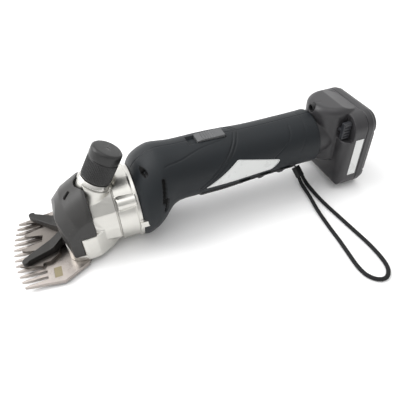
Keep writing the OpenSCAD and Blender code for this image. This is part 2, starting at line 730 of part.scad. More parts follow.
module housing_body() {
    motor_rib = motor_x + 40;
    difference() {
        station_loft(shell_stations);
        difference() {
            union() {
                station_loft(concat([[110, -20, 32]], stations_between(110.8, 121.5)), -wall);
                station_loft(stations_between(127, motor_rib), -wall);
                station_loft(stations_between(motor_rib + 3, handle_end - 4), -wall);
            }
            // Trough under the slider, screw posts and case bosses left standing
            translate([158, -8.4, 21]) cube([44, 16.8, 10]);
            for (p = screw_posts) along_y(p[0], -40, p[1]) cylinder(r = 4, h = 80);
            for (s = [-1, 1]) {
                along_x(111.5, -gear_drop + boss_radius*sin(boss_angle),
                        s*boss_radius*cos(boss_angle)) cylinder(r = 4, h = 6);
                translate([111.5, s*26 - 6, -3.4]) cube([6, 12, 3.6]);
                along_x(111.5, low_boss[1], s*low_boss[0]) cylinder(r = 4, h = 6);
            }
        }
        along_x(119, bracket_z) cylinder(r = bracket_r, h = 10);
        along_x(motor_x - 1, 0) cylinder(r = motor_d/2 + 0.02, h = motor_l + 2);
        // Seat of the gear case and its two tabs
        along_x(100, -gear_drop) cylinder(r = 29.3, h = 13.1);
        for (s = [-1, 1]) {
            translate([100, s*32 - 2.8, -gear_drop - 3.2]) cube([15.2, 5.6, 6.4]);
            along_x(105, -gear_drop + boss_radius*sin(boss_angle), s*boss_radius*cos(boss_angle))
                cylinder(r = 1.9, h = 14);
            along_x(105, low_boss[1], s*low_boss[0]) cylinder(r = 1.9, h = 14);
        }
        // Slider pocket and the slot for its stem
        translate([slider_x - slider_travel - 1, -slider_w/2 - 0.4, slider_floor])
            cube([slider_l + slider_travel + 1.6, slider_w + 0.8, 10]);
        translate([slider_x + slider_stem - slider_travel - 0.3, -2.3, 15])
            cube([4.6 + slider_travel, 4.6, 12]);
        // Opening for the battery stem
        translate([handle_end - 10, -stem_w/2 - gap, -stem_h/2 - gap])
            cube([20, stem_w + 2*gap, stem_h + 2*gap]);
        // Cooling slots on both sides
        for (s = [-1, 1]) {
            translate([131.4, s*29, 6]) rotate([0, 8, 0]) translate([-1, -9, -8.5]) cube([2, 18, 17]);
            translate([131.8, s*32, -6]) rotate([0, 10, 0]) translate([-1, -9, -5]) cube([2, 18, 10]);
        }
    }
}

module housing_near() {
    color([0.14, 0.15, 0.16]) place() difference() {
        intersection() {
            housing_body();
            translate([100, -60, -60]) cube([200, 60, 120]);
        }
        for (p = screw_posts) {
            along_y(p[0], -60, p[1]) cylinder(r = 3, h = 60 - 5);
            along_y(p[0], -60, p[1]) cylinder(r = 1.6, h = 61);
        }
    }
}

module housing_far() {
    color([0.14, 0.15, 0.16]) place() difference() {
        intersection() {
            housing_body();
            translate([100, 0, -60]) cube([200, 60, 120]);
        }
        for (p = screw_posts) along_y(p[0], -1, p[1]) cylinder(r = 1.3, h = 9);
    }
}

module housing_screws() {
    color([0.3, 0.3, 0.31]) place() for (p = screw_posts) along_y(p[0], -7.4, p[1])
        difference() {
            union() {
                cylinder(r = 2.7, h = 2.4);
                cylinder(r = 1.3, h = 14.4);
            }
            translate([-2, -0.35, -1]) cube([4, 0.7, 2]);
            translate([-0.35, -2, -1]) cube([0.7, 4, 2]);
        }
}

module finger_grip() {
    ridges = [208, 229, 250];
    color([0.1, 0.1, 0.11]) place() difference() {
        union() {
            intersection() {
                station_loft(stations_between(166, 262), 1.2);
                translate([166, -40, -60]) cube([96, 80, 46]);
            }
            for (x = ridges) intersection() {
                along_x(x - 5, -0.5) union() {
                    cylinder(r1 = 26, r2 = 28.2, h = 3.5);
                    translate([0, 0, 3.5]) cylinder(r = 28.2, h = 3);
                    translate([0, 0, 6.5]) cylinder(r1 = 28.2, r2 = 26, h = 3.5);
                }
                translate([160, -17, -60]) cube([110, 34, 50]);
            }
        }
        station_loft(stations_between(160, 270), 0.02);
    }
}

module rating_label() {
    color([0.93, 0.94, 0.93]) place() difference() {
        intersection() {
            station_loft(stations_between(164, 246), 0.4);
            side_prism([[169, -7.6], [200, 12], [241, 1], [240, -2], [234, -8.6], [210, -8.8]],
                       -40, -10);
        }
        station_loft(stations_between(160, 250), 0.03);
    }
}

module switch_slider() {
    color([0.38, 0.39, 0.4]) place() difference() {
        union() {
            side_prism([[slider_x, slider_floor + 0.1], [slider_x + slider_l, slider_floor + 0.1],
                        [slider_x + slider_l, 28], [slider_x + 4, 28.6], [slider_x, 27.6]],
                       -slider_w/2, slider_w/2);
            translate([slider_x + slider_stem, -1.8, 14]) cube([4, 3.6, 11]);
        }
        for (i = [0:6]) translate([slider_x + 5 + i*2.4, -slider_w/2 - 1, 28]) cube([1.1, slider_w + 2, 2]);
    }
}

module switch_body() {
    x0 = slider_x + slider_stem - slider_travel;
    color([0.1, 0.1, 0.1]) place() difference() {
        translate([x0 - 2.5, -7, 8]) cube([20, 14, 13]);
        translate([x0 - 0.5, -2.2, 13.5]) cube([5 + slider_travel, 4.4, 10]);
    }
}

module terminal_block() {
    color([0.16, 0.16, 0.17]) place() difference() {
        translate([244, -22, -11]) cube([10, 44, 22]);
        for (s = [-1, 1]) translate([249, s*6 - 0.4, 1]) cube([6, 0.8, 6]);
        difference() {
            translate([243, -30, -20]) cube([12, 60, 40]);
            along_x(240, -0.5) cylinder(r = 22.45, h = 20);
        }
    }
}

module terminal_blades() {
    color([0.8, 0.7, 0.45]) place() for (s = [-1, 1])
        translate([249, s*6 - 0.4, 1]) cube([14, 0.8, 6]);
}

module wiring() {
    color([0.6, 0.1, 0.08]) place() {
        swept_tube(smooth_route([[180.8, 11, 0], [190, 12, -3], [207, 11, -7], [228, 8.6, -10],
                                 [244.2, 8, -6]], 3), 0.8, 6);
        swept_tube(smooth_route([[180.8, -11, 0], [184.5, -12, 2], [189, -10.5, 7],
                                 [193, -6.8, 11]], 3), 0.9, 6);
        swept_tube(smooth_route([[200.8, 0, 12], [212, -2, 11.5], [228, -6, 8],
                                 [244.2, -8, 6]], 3), 0.9, 6);
    }
}

// ---- Wrist strap ----

module strap_lug() {
    color([0.1, 0.1, 0.11]) place() difference() {
        union() {
            along_y(273, -2.5, -28.5) cylinder(r = 4.6, h = 5);
            translate([268.4, -2.5, -28.5]) cube([9.2, 5, 4.2]);
            translate([264, -2.5, -26.2]) cube([17, 5, 1.4]);
        }
        along_y(273, -10, -29) cylinder(r = 2.2, h = 20);
        station_loft(stations_between(255, handle_end), 0.02);
    }
}

module strap_string() {
    color([0.05, 0.05, 0.05]) place() swept_tube(smooth_route([
        [277.4, -0.8, -38.5], [275.6, -2.4, -35.5], [273.6, -4.2, -31.8], [272.8, -3.7, -29.4],
        [272.9, 0, -29.1], [273.2, 3.7, -29.4], [275.6, 4.2, -33], [278.4, 1.2, -38.5]], 3), 0.7,
        6, [0.97, 0.1, 0.2]);
}

module strap_ferrule() {
    color([0.12, 0.12, 0.13]) place() translate([278, 0.6, -38.2]) rotate([0, 0, -72])
        rotate([0, 135, 0]) linear_extrude(height = 11) rounded_rect(5.4, 9.4, 2.6);
}

module wrist_strap() {
    color([0.06, 0.06, 0.07]) swept_tube(smooth_route(strap_route, 3), strap_d/2, 8, [0.12, 0.1, 0.98]);
}

// ---- Battery ----

module battery_block() {
    mid = (pack_top + pack_low)/2;
    side = pack_w/2;
    intersection() {
        along_x(block_x, mid) linear_extrude(height = base_x - block_x)
            rounded_rect(pack_h, pack_w, pack_r);
        // Front edges above and below, and the underside that rises towards the handle
        side_prism(concat([[base_x, pack_top + 1]], arc(block_x + 7, pack_top - 7, 7, 90, 180),
                          arc(block_x + 6, pack_low + pack_rise + 6, 6, 180, 270),
                          [[base_x, pack_low - 1]]),
                   -60, 60);
        translate([0, 0, -80]) linear_extrude(height = 160)
            polygon(concat([[base_x, -side - 1]], arc(block_x + 8, -side + 8, 8, 270, 180),
                           arc(block_x + 8, side - 8, 8, 180, 90), [[base_x, side + 1]]));
    }
}

module battery_shell() {
    bore_y = 4;
    color([0.3, 0.31, 0.32]) place() difference() {
        union() {
            // Block with a recess for a latch button at each front corner
            difference() {
                battery_block();
                for (s = [-1, 1]) translate([295, s*30 - 15, 5]) cube([recess_x - 295, 30, 40]);
            }
            difference() {
                translate([lobe_x, 0, 0]) rotate_extrude()
                    polygon(concat([[0, lobe_low], [lobe_r - 4, lobe_low], [lobe_r, lobe_low + 4]],
                                   arc(lobe_r - 6, lobe_top - 6, 6, 0, 90), [[0, lobe_top]]));
                side_prism([[303, lobe_top + 2], [306, lobe_top], [base_x, pack_top - 0.4],
                            [base_x, -40], [340, -40], [340, lobe_top + 2]], -30, 30);
            }
            along_x(handle_end + gap, 0) cylinder(r = 20.6, h = block_x - handle_end + 2);
            translate([stem_x, -stem_w/2, -stem_h/2])
                cube([handle_end - stem_x + 3, stem_w, stem_h]);
        }
        // Room for the cells, the board and the stem's contacts
        translate([recess_x + 1.4, -29.4, pack_low + 6.8]) cube([30, 58.8, cell_l + 1.1]);
        translate([stem_x + 2, -stem_w/2 + 2.2, -stem_h/2 + 2.2])
            cube([60, stem_w - 4.4, stem_h - 4.4]);
        for (s = [-1, 1]) translate([stem_x - 1, s*6 - 1.2, 0.4]) cube([4, 2.4, 7.2]);
        along_x(handle_end - 2, socket_z) cylinder(r = 3.9, h = 13.2);
        for (s = [-1, 1]) along_y(latch_x, s > 0 ? bore_y : -40, 14)
            cylinder(r = 2.05, h = 40 - bore_y);
        for (s = [-1, 1]) for (z = pack_screw_z) along_x(base_x - 7, z, s*pack_screw_y)
            cylinder(r = 1.5, h = 8);
    }
}

module battery_base() {
    w = pack_w;
    mid = (pack_top + pack_low)/2;
    t = pack_end - base_x;
    color([0.3, 0.31, 0.32]) place() difference() {
        union() {
            along_x(base_x, mid) linear_extrude(height = 1)
                rounded_rect(pack_h - 2, w - 2, pack_r - 1);
            along_x(base_x + 0.6, mid) linear_extrude(height = t - 4.6)
                rounded_rect(pack_h, w, pack_r);
            along_x(pack_end - 4.01, mid) linear_extrude(height = 2.2)
                rounded_rect(pack_h - 2, w - 2, pack_r - 1);
            along_x(pack_end - 2, mid) linear_extrude(height = 2)
                rounded_rect(pack_h - 3, w - 3, pack_r - 1.5);
        }
        translate([base_x - 1, -29.4, pack_low + 6.8]) cube([t - 1, 58.8, cell_l + 1.1]);
        for (s = [-1, 1]) for (z = pack_screw_z) {
            along_x(base_x - 1, z, s*pack_screw_y) cylinder(r = 1.6, h = 20);
            along_x(base_x + 5, z, s*pack_screw_y) cylinder(r = 1.9, h = 20);
        }
    }
}

module battery_screws() {
    color([0.3, 0.3, 0.31]) place() for (s = [-1, 1])
        for (z = pack_screw_z) along_x(base_x - 5, z, s*pack_screw_y) difference() {
            union() {
                translate([0, 0, 10]) cylinder(r = 1.8, h = 2.2);
                cylinder(r = 1.5, h = 10.5);
            }
            translate([-1.2, -0.3, 11.4]) cube([2.4, 0.6, 1.6]);
            translate([-0.3, -1.2, 11.4]) cube([0.6, 2.4, 1.6]);
        }
}

module battery_cells() {
    pitch = cell_d + 1.4;
    color([0.2, 0.45, 0.6]) place() for (i = [-1:1])
        translate([cell_x, i*pitch, pack_low + 7.2]) {
            cylinder(r = cell_d/2, h = cell_l);
            translate([0, 0, cell_l]) cylinder(r = 3.2, h = 0.4);
        }
}

module cell_links() {
    pitch = cell_d + 1.4;
    color([0.75, 0.75, 0.76]) place() {
        translate([cell_x - 3, -pitch - 4, pack_low + 7.2 + cell_l + 0.4])
            cube([6, pitch + 8, 0.3]);
        translate([cell_x - 3, -4, pack_low + 6.8]) cube([6, pitch + 8, 0.4]);
    }
}

module battery_board() {
    color([0.1, 0.35, 0.2]) place() translate([stem_x + 3, -10.8, -1]) cube([40, 21.6, 1.6]);
}

// Two sprung clips on the board, one on each terminal blade
module battery_contacts() {
    color([0.8, 0.7, 0.45]) place() for (s = [-1, 1]) {
        for (t = [-1, 1]) translate([stem_x + 3.5, s*6 + t*0.95 - 0.25, 0.6]) cube([9, 0.5, 6.4]);
        translate([stem_x + 11, s*6 - 1.2, 0.6]) cube([1.5, 2.4, 6.4]);
    }
}

module charging_socket() {
    color([0.08, 0.08, 0.08]) place() {
        along_x(handle_end + 1, socket_z) difference() {
            cylinder(r = 3.85, h = 10);
            translate([0, 0, -1]) cylinder(r = socket_r, h = socket_depth + 1);
        }
    }
}

module battery_label() {
    color([0.93, 0.94, 0.93]) place() translate([313, -pack_w/2 - 0.25, -33.5])
        cube([8.6, 0.25, 40]);
}

// Latch button: ribbed plate, inner boss and guide pin, pressed towards the middle
module latch_button() {
    color([0.26, 0.27, 0.29]) place() {
        translate([latch_x - 1.9, 0, 6.5]) {
            translate([0, 22.1 + latch_travel, 0]) cube([latch_l, 3.8, 16]);
            for (i = [0:4]) translate([0.7, 27.9, 0.9 + i*3.1]) cube([latch_l - 1.4, 1.4, 1.6]);
        }
        along_y(latch_x, 14, 14) cylinder(r = 2, h = 12);
    }
}

module latch_far() {
    latch_button();
}

module latch_near() {
    mirror([0, 1, 0]) latch_button();
}

module latch_spring() {
    turns = 4;
    color([0.8, 0.8, 0.82]) place() along_y(latch_x, 7.2, 14)
        swept_tube([for (i = [0:12*turns])
            [1.4*cos(30*i), 1.4*sin(30*i), 6.5*i/(12*turns)]], 0.3, 6);
}

module latch_spring_far() {
    latch_spring();
}

module latch_spring_near() {
    mirror([0, 1, 0]) latch_spring();
}

// ---- The sub-parts ----

comb();
comb_screws();
cutter();
fork();
fork_pins();
pivot_post();
tension_pin();
tension_spring();
tension_sleeve();
tension_knob();
head_casting();
head_cover();
gear_case();
gear_case_screws();
crank_shaft();
crank_roller();
bearing_outer_rings();
bearing_inner_rings();
bearing_balls();
drive_gear();
pinion();
motor_bracket();
motor_can();
motor_magnets();
motor_endcap();
motor_brushes();
motor_screws();
motor_shaft();
armature();
housing_near();
housing_far();
housing_screws();
finger_grip();
rating_label();
switch_slider();
switch_body();
terminal_block();
terminal_blades();
wiring();
strap_lug();
strap_string();
strap_ferrule();
wrist_strap();
battery_shell();
battery_base();
battery_cells();
cell_links();
battery_board();
battery_contacts();
charging_socket();
battery_label();
battery_screws();
latch_near();
latch_far();
latch_spring_near();
latch_spring_far();
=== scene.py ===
"""Looks of the cordless sheep shears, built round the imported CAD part.

Lengths are millimetres until to_row() or MM turns them into metres. The handle's frame has x
from the comb's tip to the battery, y to the far side and z up, with z = 0 on the handle's axis.
"""

import json
import math

import bmesh
import bpy
import numpy as np
from mathutils import Matrix, Vector


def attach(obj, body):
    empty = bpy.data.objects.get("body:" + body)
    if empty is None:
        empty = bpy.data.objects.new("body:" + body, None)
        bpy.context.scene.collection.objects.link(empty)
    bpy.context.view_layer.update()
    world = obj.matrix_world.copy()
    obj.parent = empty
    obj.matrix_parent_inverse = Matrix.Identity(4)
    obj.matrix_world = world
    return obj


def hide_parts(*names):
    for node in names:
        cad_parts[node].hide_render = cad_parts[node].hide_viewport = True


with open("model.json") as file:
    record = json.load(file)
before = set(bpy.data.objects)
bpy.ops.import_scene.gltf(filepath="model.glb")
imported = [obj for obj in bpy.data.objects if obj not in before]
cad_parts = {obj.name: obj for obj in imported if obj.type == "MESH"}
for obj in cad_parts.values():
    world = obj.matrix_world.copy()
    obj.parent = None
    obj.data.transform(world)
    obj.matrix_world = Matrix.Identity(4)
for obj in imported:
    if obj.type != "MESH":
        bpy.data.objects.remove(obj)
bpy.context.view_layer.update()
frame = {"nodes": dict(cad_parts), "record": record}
NODES = frame["nodes"]
RECORD = frame["record"]
SCENE = bpy.context.scene
BODY_OF = {n: b for b, members in RECORD["behaviour"]["bodies"].items() for n in members}
SLOT_OF = {s["node"]: s["material_slot"] for s in RECORD["subparts"]}
MM = 0.001
ORIGIN = np.array([-167.0, 0.0, 52.0])  # the handle frame's origin in the row frame

# ---------------------------------------------------------------- camera

CAMERA_AT = (-0.093561, -0.269910, 0.277788)
CAMERA_RIGHT = (0.9281465, -0.3710432, -0.0295140)
CAMERA_UP = (0.2743960, 0.6284964, 0.7278043)
CAMERA_BACK = (-0.2514974, -0.6836075, 0.6851495)
LENS = 36.7786
SENSOR = 36


def add_camera():
    """Looks down on the near side, with the comb at the left and the battery at the right."""
    data = bpy.data.cameras.new("camera")
    data.lens = LENS
    data.sensor_width = SENSOR
    data.sensor_fit = "HORIZONTAL"
    data.clip_start = 0.01
    data.clip_end = 200
    cam = bpy.data.objects.new("camera", data)
    SCENE.collection.objects.link(cam)
    m = Matrix((CAMERA_RIGHT, CAMERA_UP, CAMERA_BACK)).transposed().to_4x4()
    m.translation = Vector(CAMERA_AT)
    cam.matrix_world = m
    SCENE.camera = cam


add_camera()

# ---------------------------------------------------------------- mesh helpers


def to_row(points):
    """Points of the handle's frame in millimetres, in the row frame in metres."""
    return (np.asarray(points, float) + ORIGIN) * MM


def smoothstep(t):
    """0 up to 0, 1 from 1 on, and a smooth rise between."""
    t = np.clip(t, 0.0, 1.0)
    return t * t * (3 - 2 * t)


def catmull(points, steps):
    """A smooth route through points, the same curve that the CAD part's cords follow."""
    p = np.asarray(points, float)
    out = []
    last = len(p) - 1
    for i in range(last):
        a, b, c, d = p[max(i - 1, 0)], p[i], p[i + 1], p[min(i + 2, last)]
        for t in np.arange(steps) / steps:
            cubic = 2 * b + (c - a) * t + (2 * a - 5 * b + 4 * c - d) * t * t
            out.append(0.5 * (cubic + (3 * b - a - 3 * c + d) * t**3))
    out.append(p[-1])
    return np.array(out)


def lengths_along(points):
    """Distance of each point of a polyline from its start."""
    return np.concatenate([[0], np.cumsum(np.linalg.norm(np.diff(points, axis=0), axis=1))])


def resample(points, step):
    """Points at even spacing along a polyline."""
    p = np.asarray(points, float)
    s = lengths_along(p)
    n = max(2, int(round(s[-1] / step)) + 1)
    t = np.linspace(0, s[-1], n)
    return np.stack([np.interp(t, s, p[:, k]) for k in range(p.shape[1])], axis=1)


def grid_faces(rows, cols, wrap_rows=False, wrap_cols=False, flip=False):
    """Quads over rows of points, closed in either direction where it wraps."""
    r = np.arange(rows if wrap_rows else rows - 1)
    c = np.arange(cols if wrap_cols else cols - 1)
    r, c = [a.ravel() for a in np.meshgrid(r, c, indexing="ij")]
    r2, c2 = (r + 1) % rows, (c + 1) % cols
    quads = np.stack([r * cols + c, r2 * cols + c, r2 * cols + c2, r * cols + c2], axis=1)
    return quads[:, ::-1] if flip else quads


def add_piece(name, verts, faces, body, slot, replaces, shade=None):
    """A mesh piece in the row frame; shade darkens the finishes that read it, point by point:
    painted shade in the handle's slots and bore, the printed border on the label.
    """
    mesh = bpy.data.meshes.new(name)
    mesh.from_pydata(np.asarray(verts).tolist(), [], [list(map(int, f)) for f in faces])
    mesh.polygons.foreach_set("use_smooth", [True] * len(mesh.polygons))
    if shade is not None:
        mesh.attributes.new("deep", "FLOAT", "POINT").data.foreach_set(
            "value", np.asarray(shade, np.float32)
        )
    mesh.update()
    obj = bpy.data.objects.new(name, mesh)
    SCENE.collection.objects.link(obj)
    obj.data.materials.append(FINISH[slot])
    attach(obj, body)
    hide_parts(*replaces)
    return obj


def remake(node, voxel=None, relax=0, bevel=None, angle=30, move=None):
    """A visible copy of a CAD node with its edges rounded, standing for the node.

    voxel and relax remesh it and smooth it; bevel rounds the edges sharper than angle;
    move changes the place of its points first.
    """
    mesh = NODES[node].data.copy()
    bm = bmesh.new()
    bm.from_mesh(mesh)
    bmesh.ops.remove_doubles(bm, verts=bm.verts, dist=1e-6)
    if bevel:
        bmesh.ops.dissolve_limit(
            bm, angle_limit=math.radians(1.0), verts=bm.verts, edges=bm.edges
        )
    for part in (*bm.faces, *bm.edges):
        part.smooth = True
    if move:
        for v in bm.verts:
            v.co = move(v.co)
    bm.to_mesh(mesh)
    bm.free()
    for gone in ("custom_normal", "sharp_edge"):
        if gone in mesh.attributes:
            mesh.attributes.remove(mesh.attributes[gone])
    obj = bpy.data.objects.new("look_" + node, mesh)
    SCENE.collection.objects.link(obj)
    mesh.materials.clear()
    mesh.materials.append(FINISH[SLOT_OF[node]])
    if voxel:
        remesh = obj.modifiers.new("remesh", "REMESH")
        remesh.mode = "VOXEL"
        remesh.voxel_size = voxel * MM
        remesh.use_smooth_shade = True
        smooth = obj.modifiers.new("relax", "SMOOTH")
        smooth.factor = 0.5
        smooth.iterations = relax
    if bevel:
        edge = obj.modifiers.new("bevel", "BEVEL")
        edge.width = bevel * MM
        edge.segments = 2
        edge.limit_method = "ANGLE"
        edge.angle_limit = math.radians(angle)
        edge.harden_normals = True
    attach(obj, BODY_OF[node])
    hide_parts(node)
    return obj


# ---------------------------------------------------------------- finishes


class Graph:
    """A material's node tree, with short calls for the nodes used here."""

    def __init__(self, name):
        self.mat = bpy.data.materials.new(name)
        self.mat.use_nodes = True
        self.tree = self.mat.node_tree
        self.tree.nodes.clear()
        self.out = self.node("ShaderNodeOutputMaterial")
        self.shader = self.node("ShaderNodeBsdfPrincipled")
        self.link(self.shader.outputs[0], self.out.inputs[0])
        self.coord = self.node("ShaderNodeTexCoord").outputs["Object"]

    def node(self, kind, **props):
        n = self.tree.nodes.new(kind)
        for k, v in props.items():
            setattr(n, k, v)
        return n

    def link(self, a, b):
        self.tree.links.new(a, b)

    def put(self, socket, value):
        """Sets a socket to a number or a colour, or links another socket to it."""
        if isinstance(value, (int, float)):
            socket.default_value = value
        elif isinstance(value, (tuple, list)):
            size = len(socket.default_value)
            socket.default_value = tuple(value) + (1.0,) * (size - len(value))
        else:
            self.link(value, socket)

    def noise(self, size, detail=3.0, rough=0.55, stretch=None):
        """Noise whose features are about size millimetres, stretched along an axis."""
        n = self.node("ShaderNodeTexNoise")
        n.inputs["Scale"].default_value = 1000.0 / size
        n.inputs["Detail"].default_value = detail
        n.inputs["Roughness"].default_value = rough
        place = self.coord
        if stretch:
            m = self.node("ShaderNodeMapping")
            m.inputs["Scale"].default_value = stretch
            self.link(place, m.inputs["Vector"])
            place = m.outputs[0]
        self.link(place, n.inputs["Vector"])
        return n.outputs["Fac"]

    def remap(self, value, a, b, c=0.0, d=1.0):
        """Takes a..b to c..d, and holds the ends."""
        n = self.node("ShaderNodeMapRange")
        self.put(n.inputs["Value"], value)
        for k, v in zip(("From Min", "From Max", "To Min", "To Max"), (a, b, c, d)):
            n.inputs[k].default_value = v
        return n.outputs[0]

    def math(self, op, a, b=0.0):
        n = self.node("ShaderNodeMath", operation=op)
        self.put(n.inputs[0], a)
        self.put(n.inputs[1], b)
        return n.outputs[0]

    def mix(self, fac, a, b):
        n = self.node("ShaderNodeMix", data_type="RGBA")
        self.put(n.inputs[0], fac)
        self.put(n.inputs[6], a)
        self.put(n.inputs[7], b)
        return n.outputs[2]

    def bump(self, height, depth, normal=None):
        """Relief of a depth in millimetres, laid over another normal."""
        n = self.node("ShaderNodeBump")
        n.inputs["Strength"].default_value = 1.0
        n.inputs["Distance"].default_value = depth * MM
        self.put(n.inputs["Height"], height)
        if normal is not None:
            self.link(normal, n.inputs["Normal"])
        return n.outputs[0]

    def box_mask(self, low, high, soft):
        """1 inside a box of the handle's frame and 0 a soft distance outside it."""
        low, high = to_row(low), to_row(high)
        sep = self.node("ShaderNodeSeparateXYZ")
        self.link(self.coord, sep.inputs[0])
        mask = None
        for k in range(3):
            mid, half = float(low[k] + high[k]) / 2, float(high[k] - low[k]) / 2
            off = self.math("ABSOLUTE", self.math("SUBTRACT", sep.outputs[k], mid))
            one = self.remap(off, half, half + soft * MM, 1.0, 0.0)
            mask = one if mask is None else self.math("MULTIPLY", mask, one)
        return mask


BEVEL_R = 0.35  # reach of the shader's edge finder on coarse meshes
EDGES = (0.515, 0.58)  # pointiness where wear begins and where it is full
HOLLOWS = (0.49, 0.43)  # pointiness where the dirt and painted shade of hollows begin and where they are full
STREAK_BUMP = 0.004
RECESS_SHADE = (0.002, 0.002, 0.002)  # colour of the painted shade at the bottom of slots and bores


def surface(
    name,
    color,
    rough,
    metallic=0.0,
    vary=0.10,
    mottle=18.0,
    grain=0.35,
    bump=0.012,
    wear=0.0,
    wear_color=(0.5, 0.5, 0.5),
    dense=False,
    dirt=0.0,
    streak=None,
    deep=False,
    extra=None,
    **fixed,
):
    """A finish: mottled colour, grain, edge wear, dirt and painted shade in hollows, painted shade
    in slots, and brushed streaks.

    A dense mesh gives its own edges and hollows; elsewhere a bevel shader finds the edges.
    fixed holds values for the shader's other sockets, such as coat_weight.
    """
    g = Graph(name)
    c = np.array(color)
    cloud = g.remap(g.noise(mottle, 4.0, 0.6), 0.3, 0.7)
    speck = g.noise(grain, 2.0, 0.6)
    tone = g.mix(cloud, tuple(c * (1 - vary)), tuple(np.minimum(c * (1 + vary), 1)))
    tone = g.mix(g.remap(speck, 0.35, 0.75, 0.0, 0.35), tone, tuple(c * (1 - 2 * vary)))
    scuff = g.remap(g.noise(4.0, 5.0, 0.7), 0.42, 0.62)
    rough_value = g.remap(cloud, 0.0, 1.0, rough - 0.05, rough + 0.05)
    geo = g.node("ShaderNodeNewGeometry")
    normal = None
    if dense:
        edge = g.remap(geo.outputs["Pointiness"], *EDGES)
        hollow = g.remap(geo.outputs["Pointiness"], *HOLLOWS)
    else:
        bevel = g.node("ShaderNodeBevel", samples=4)
        bevel.inputs["Radius"].default_value = BEVEL_R * MM
        dot = g.node("ShaderNodeVectorMath", operation="DOT_PRODUCT")
        g.link(bevel.outputs[0], dot.inputs[0])
        g.link(geo.outputs["Normal"], dot.inputs[1])
        edge = g.remap(dot.outputs["Value"], 0.995, 0.90)
        normal = bevel.outputs[0]
    if wear:
        worn = g.math("MULTIPLY", g.math("MULTIPLY", edge, scuff), wear)
        tone = g.mix(worn, tone, wear_color)
        change = g.math("MULTIPLY", worn, -0.12 if metallic < 0.5 else 0.1)
        rough_value = g.math("ADD", rough_value, change)
    # dirt and painted shade: darker where a dense mesh dips into hollows and creases
    if dirt and dense:
        tone = g.mix(g.math("MULTIPLY", hollow, dirt), tone, tuple(c * 0.25))
    if streak:
        lines = g.noise(1.0, 3.0, 0.6, stretch=streak)
        rough_value = g.math("ADD", rough_value, g.remap(lines, 0.3, 0.7, -0.07, 0.07))
        tone = g.mix(g.remap(lines, 0.35, 0.7, 0.0, 0.35), tone, tuple(c * 0.72))
        normal = g.bump(lines, STREAK_BUMP, normal)
    # painted shade: near black at the bottom of slots and bores, where the deep attribute is high
    if deep:
        shade = g.node("ShaderNodeAttribute", attribute_name="deep").outputs["Fac"]
        tone = g.mix(shade, tone, RECESS_SHADE)
        rough_value = g.math("MAXIMUM", rough_value, g.math("MULTIPLY", shade, 0.9))
    normal = g.bump(speck, bump, normal)
    if extra:
        tone, rough_value, normal = extra(g, tone, rough_value, normal)
    g.put(g.shader.inputs["Base Color"], tone)
    g.put(g.shader.inputs["Roughness"], rough_value)
    g.shader.inputs["Metallic"].default_value = metallic
    g.link(normal, g.shader.inputs["Normal"])
    for key, value in fixed.items():
        socket = key.replace("_", " ").title().replace("Ior", "IOR")
        g.shader.inputs[socket].default_value = value
    return g.mat


# boxes of the handle's frame: low corner, high corner and how far the edge fades
CUTTER_BOX = ((0, -50, -45.85), (62, 50, -38), 0.1)
# box of the painted shade on the comb where it shows through the cutter's gullets
GULLET_SHADE_BOX = ((13, -14, -46.3), (25, 32, -45.95), 3.0)
COMB_BOX = ((0, -60, -47.5), (70, 60, -45.9), 0.05)
ETCHED_X = (30.5, 36.5)
ETCHED_Y = (27.0, 37.5)
ETCHED_Z = (-46.4, -45.6)


def comb_mark(g, tone, rough_value, normal):
    """The cutter's darker steel, partly painted shade; painted shade on the comb under the
    cutter's gullets; and a plain etched patch on each side of it.
    """
    # the cutter painted darker: partly its own steel's tone, partly painted shade
    cutter = g.box_mask(*CUTTER_BOX)
    tone = g.mix(g.math("MULTIPLY", cutter, 0.75), tone, (0.11, 0.10, 0.09))
    # painted shade on the comb's top under the cutter's gullets
    gullet_shade = g.math("MULTIPLY", g.box_mask(*GULLET_SHADE_BOX), g.box_mask(*COMB_BOX))
    tone = g.mix(g.math("MULTIPLY", gullet_shade, 0.85), tone, (0.045, 0.038, 0.034))
    rough_value = g.math("ADD", rough_value, g.math("MULTIPLY", cutter, 0.08))
    for side in (-1, 1):
        y0, y1 = sorted(side * y for y in ETCHED_Y)
        low, high = zip(ETCHED_X, (y0, y1), ETCHED_Z)
        etched = g.box_mask(low, high, 0.25)
        tone = g.mix(g.math("MULTIPLY", etched, 0.75), tone, (0.20, 0.17, 0.085))
        rough_value = g.math("ADD", rough_value, g.math("MULTIPLY", etched, 0.15))
        normal = g.bump(etched, -0.08, normal)
    return tone, rough_value, normal


def label_print(g, tone, rough_value, normal):
    """A fine plain border inside a label's edge, and faint handling marks."""
    border = g.node("ShaderNodeAttribute", attribute_name="deep").outputs["Fac"]
    tone = g.mix(g.math("MULTIPLY", border, 0.8), tone, (0.25, 0.26, 0.28))
    smear = g.remap(g.noise(7.0, 5.0, 0.7), 0.55, 0.75, 0.0, 0.10)
    return g.mix(smear, tone, (0.55, 0.54, 0.50)), rough_value, normal


STEEL = dict(metallic=1.0, wear=0.3, wear_color=(0.85, 0.84, 0.82))
BLACK = dict(wear=0.25, wear_color=(0.10, 0.10, 0.105))
CORD = dict(vary=0.3, dense=True, sheen_weight=0.05, specular_ior_level=0.25)

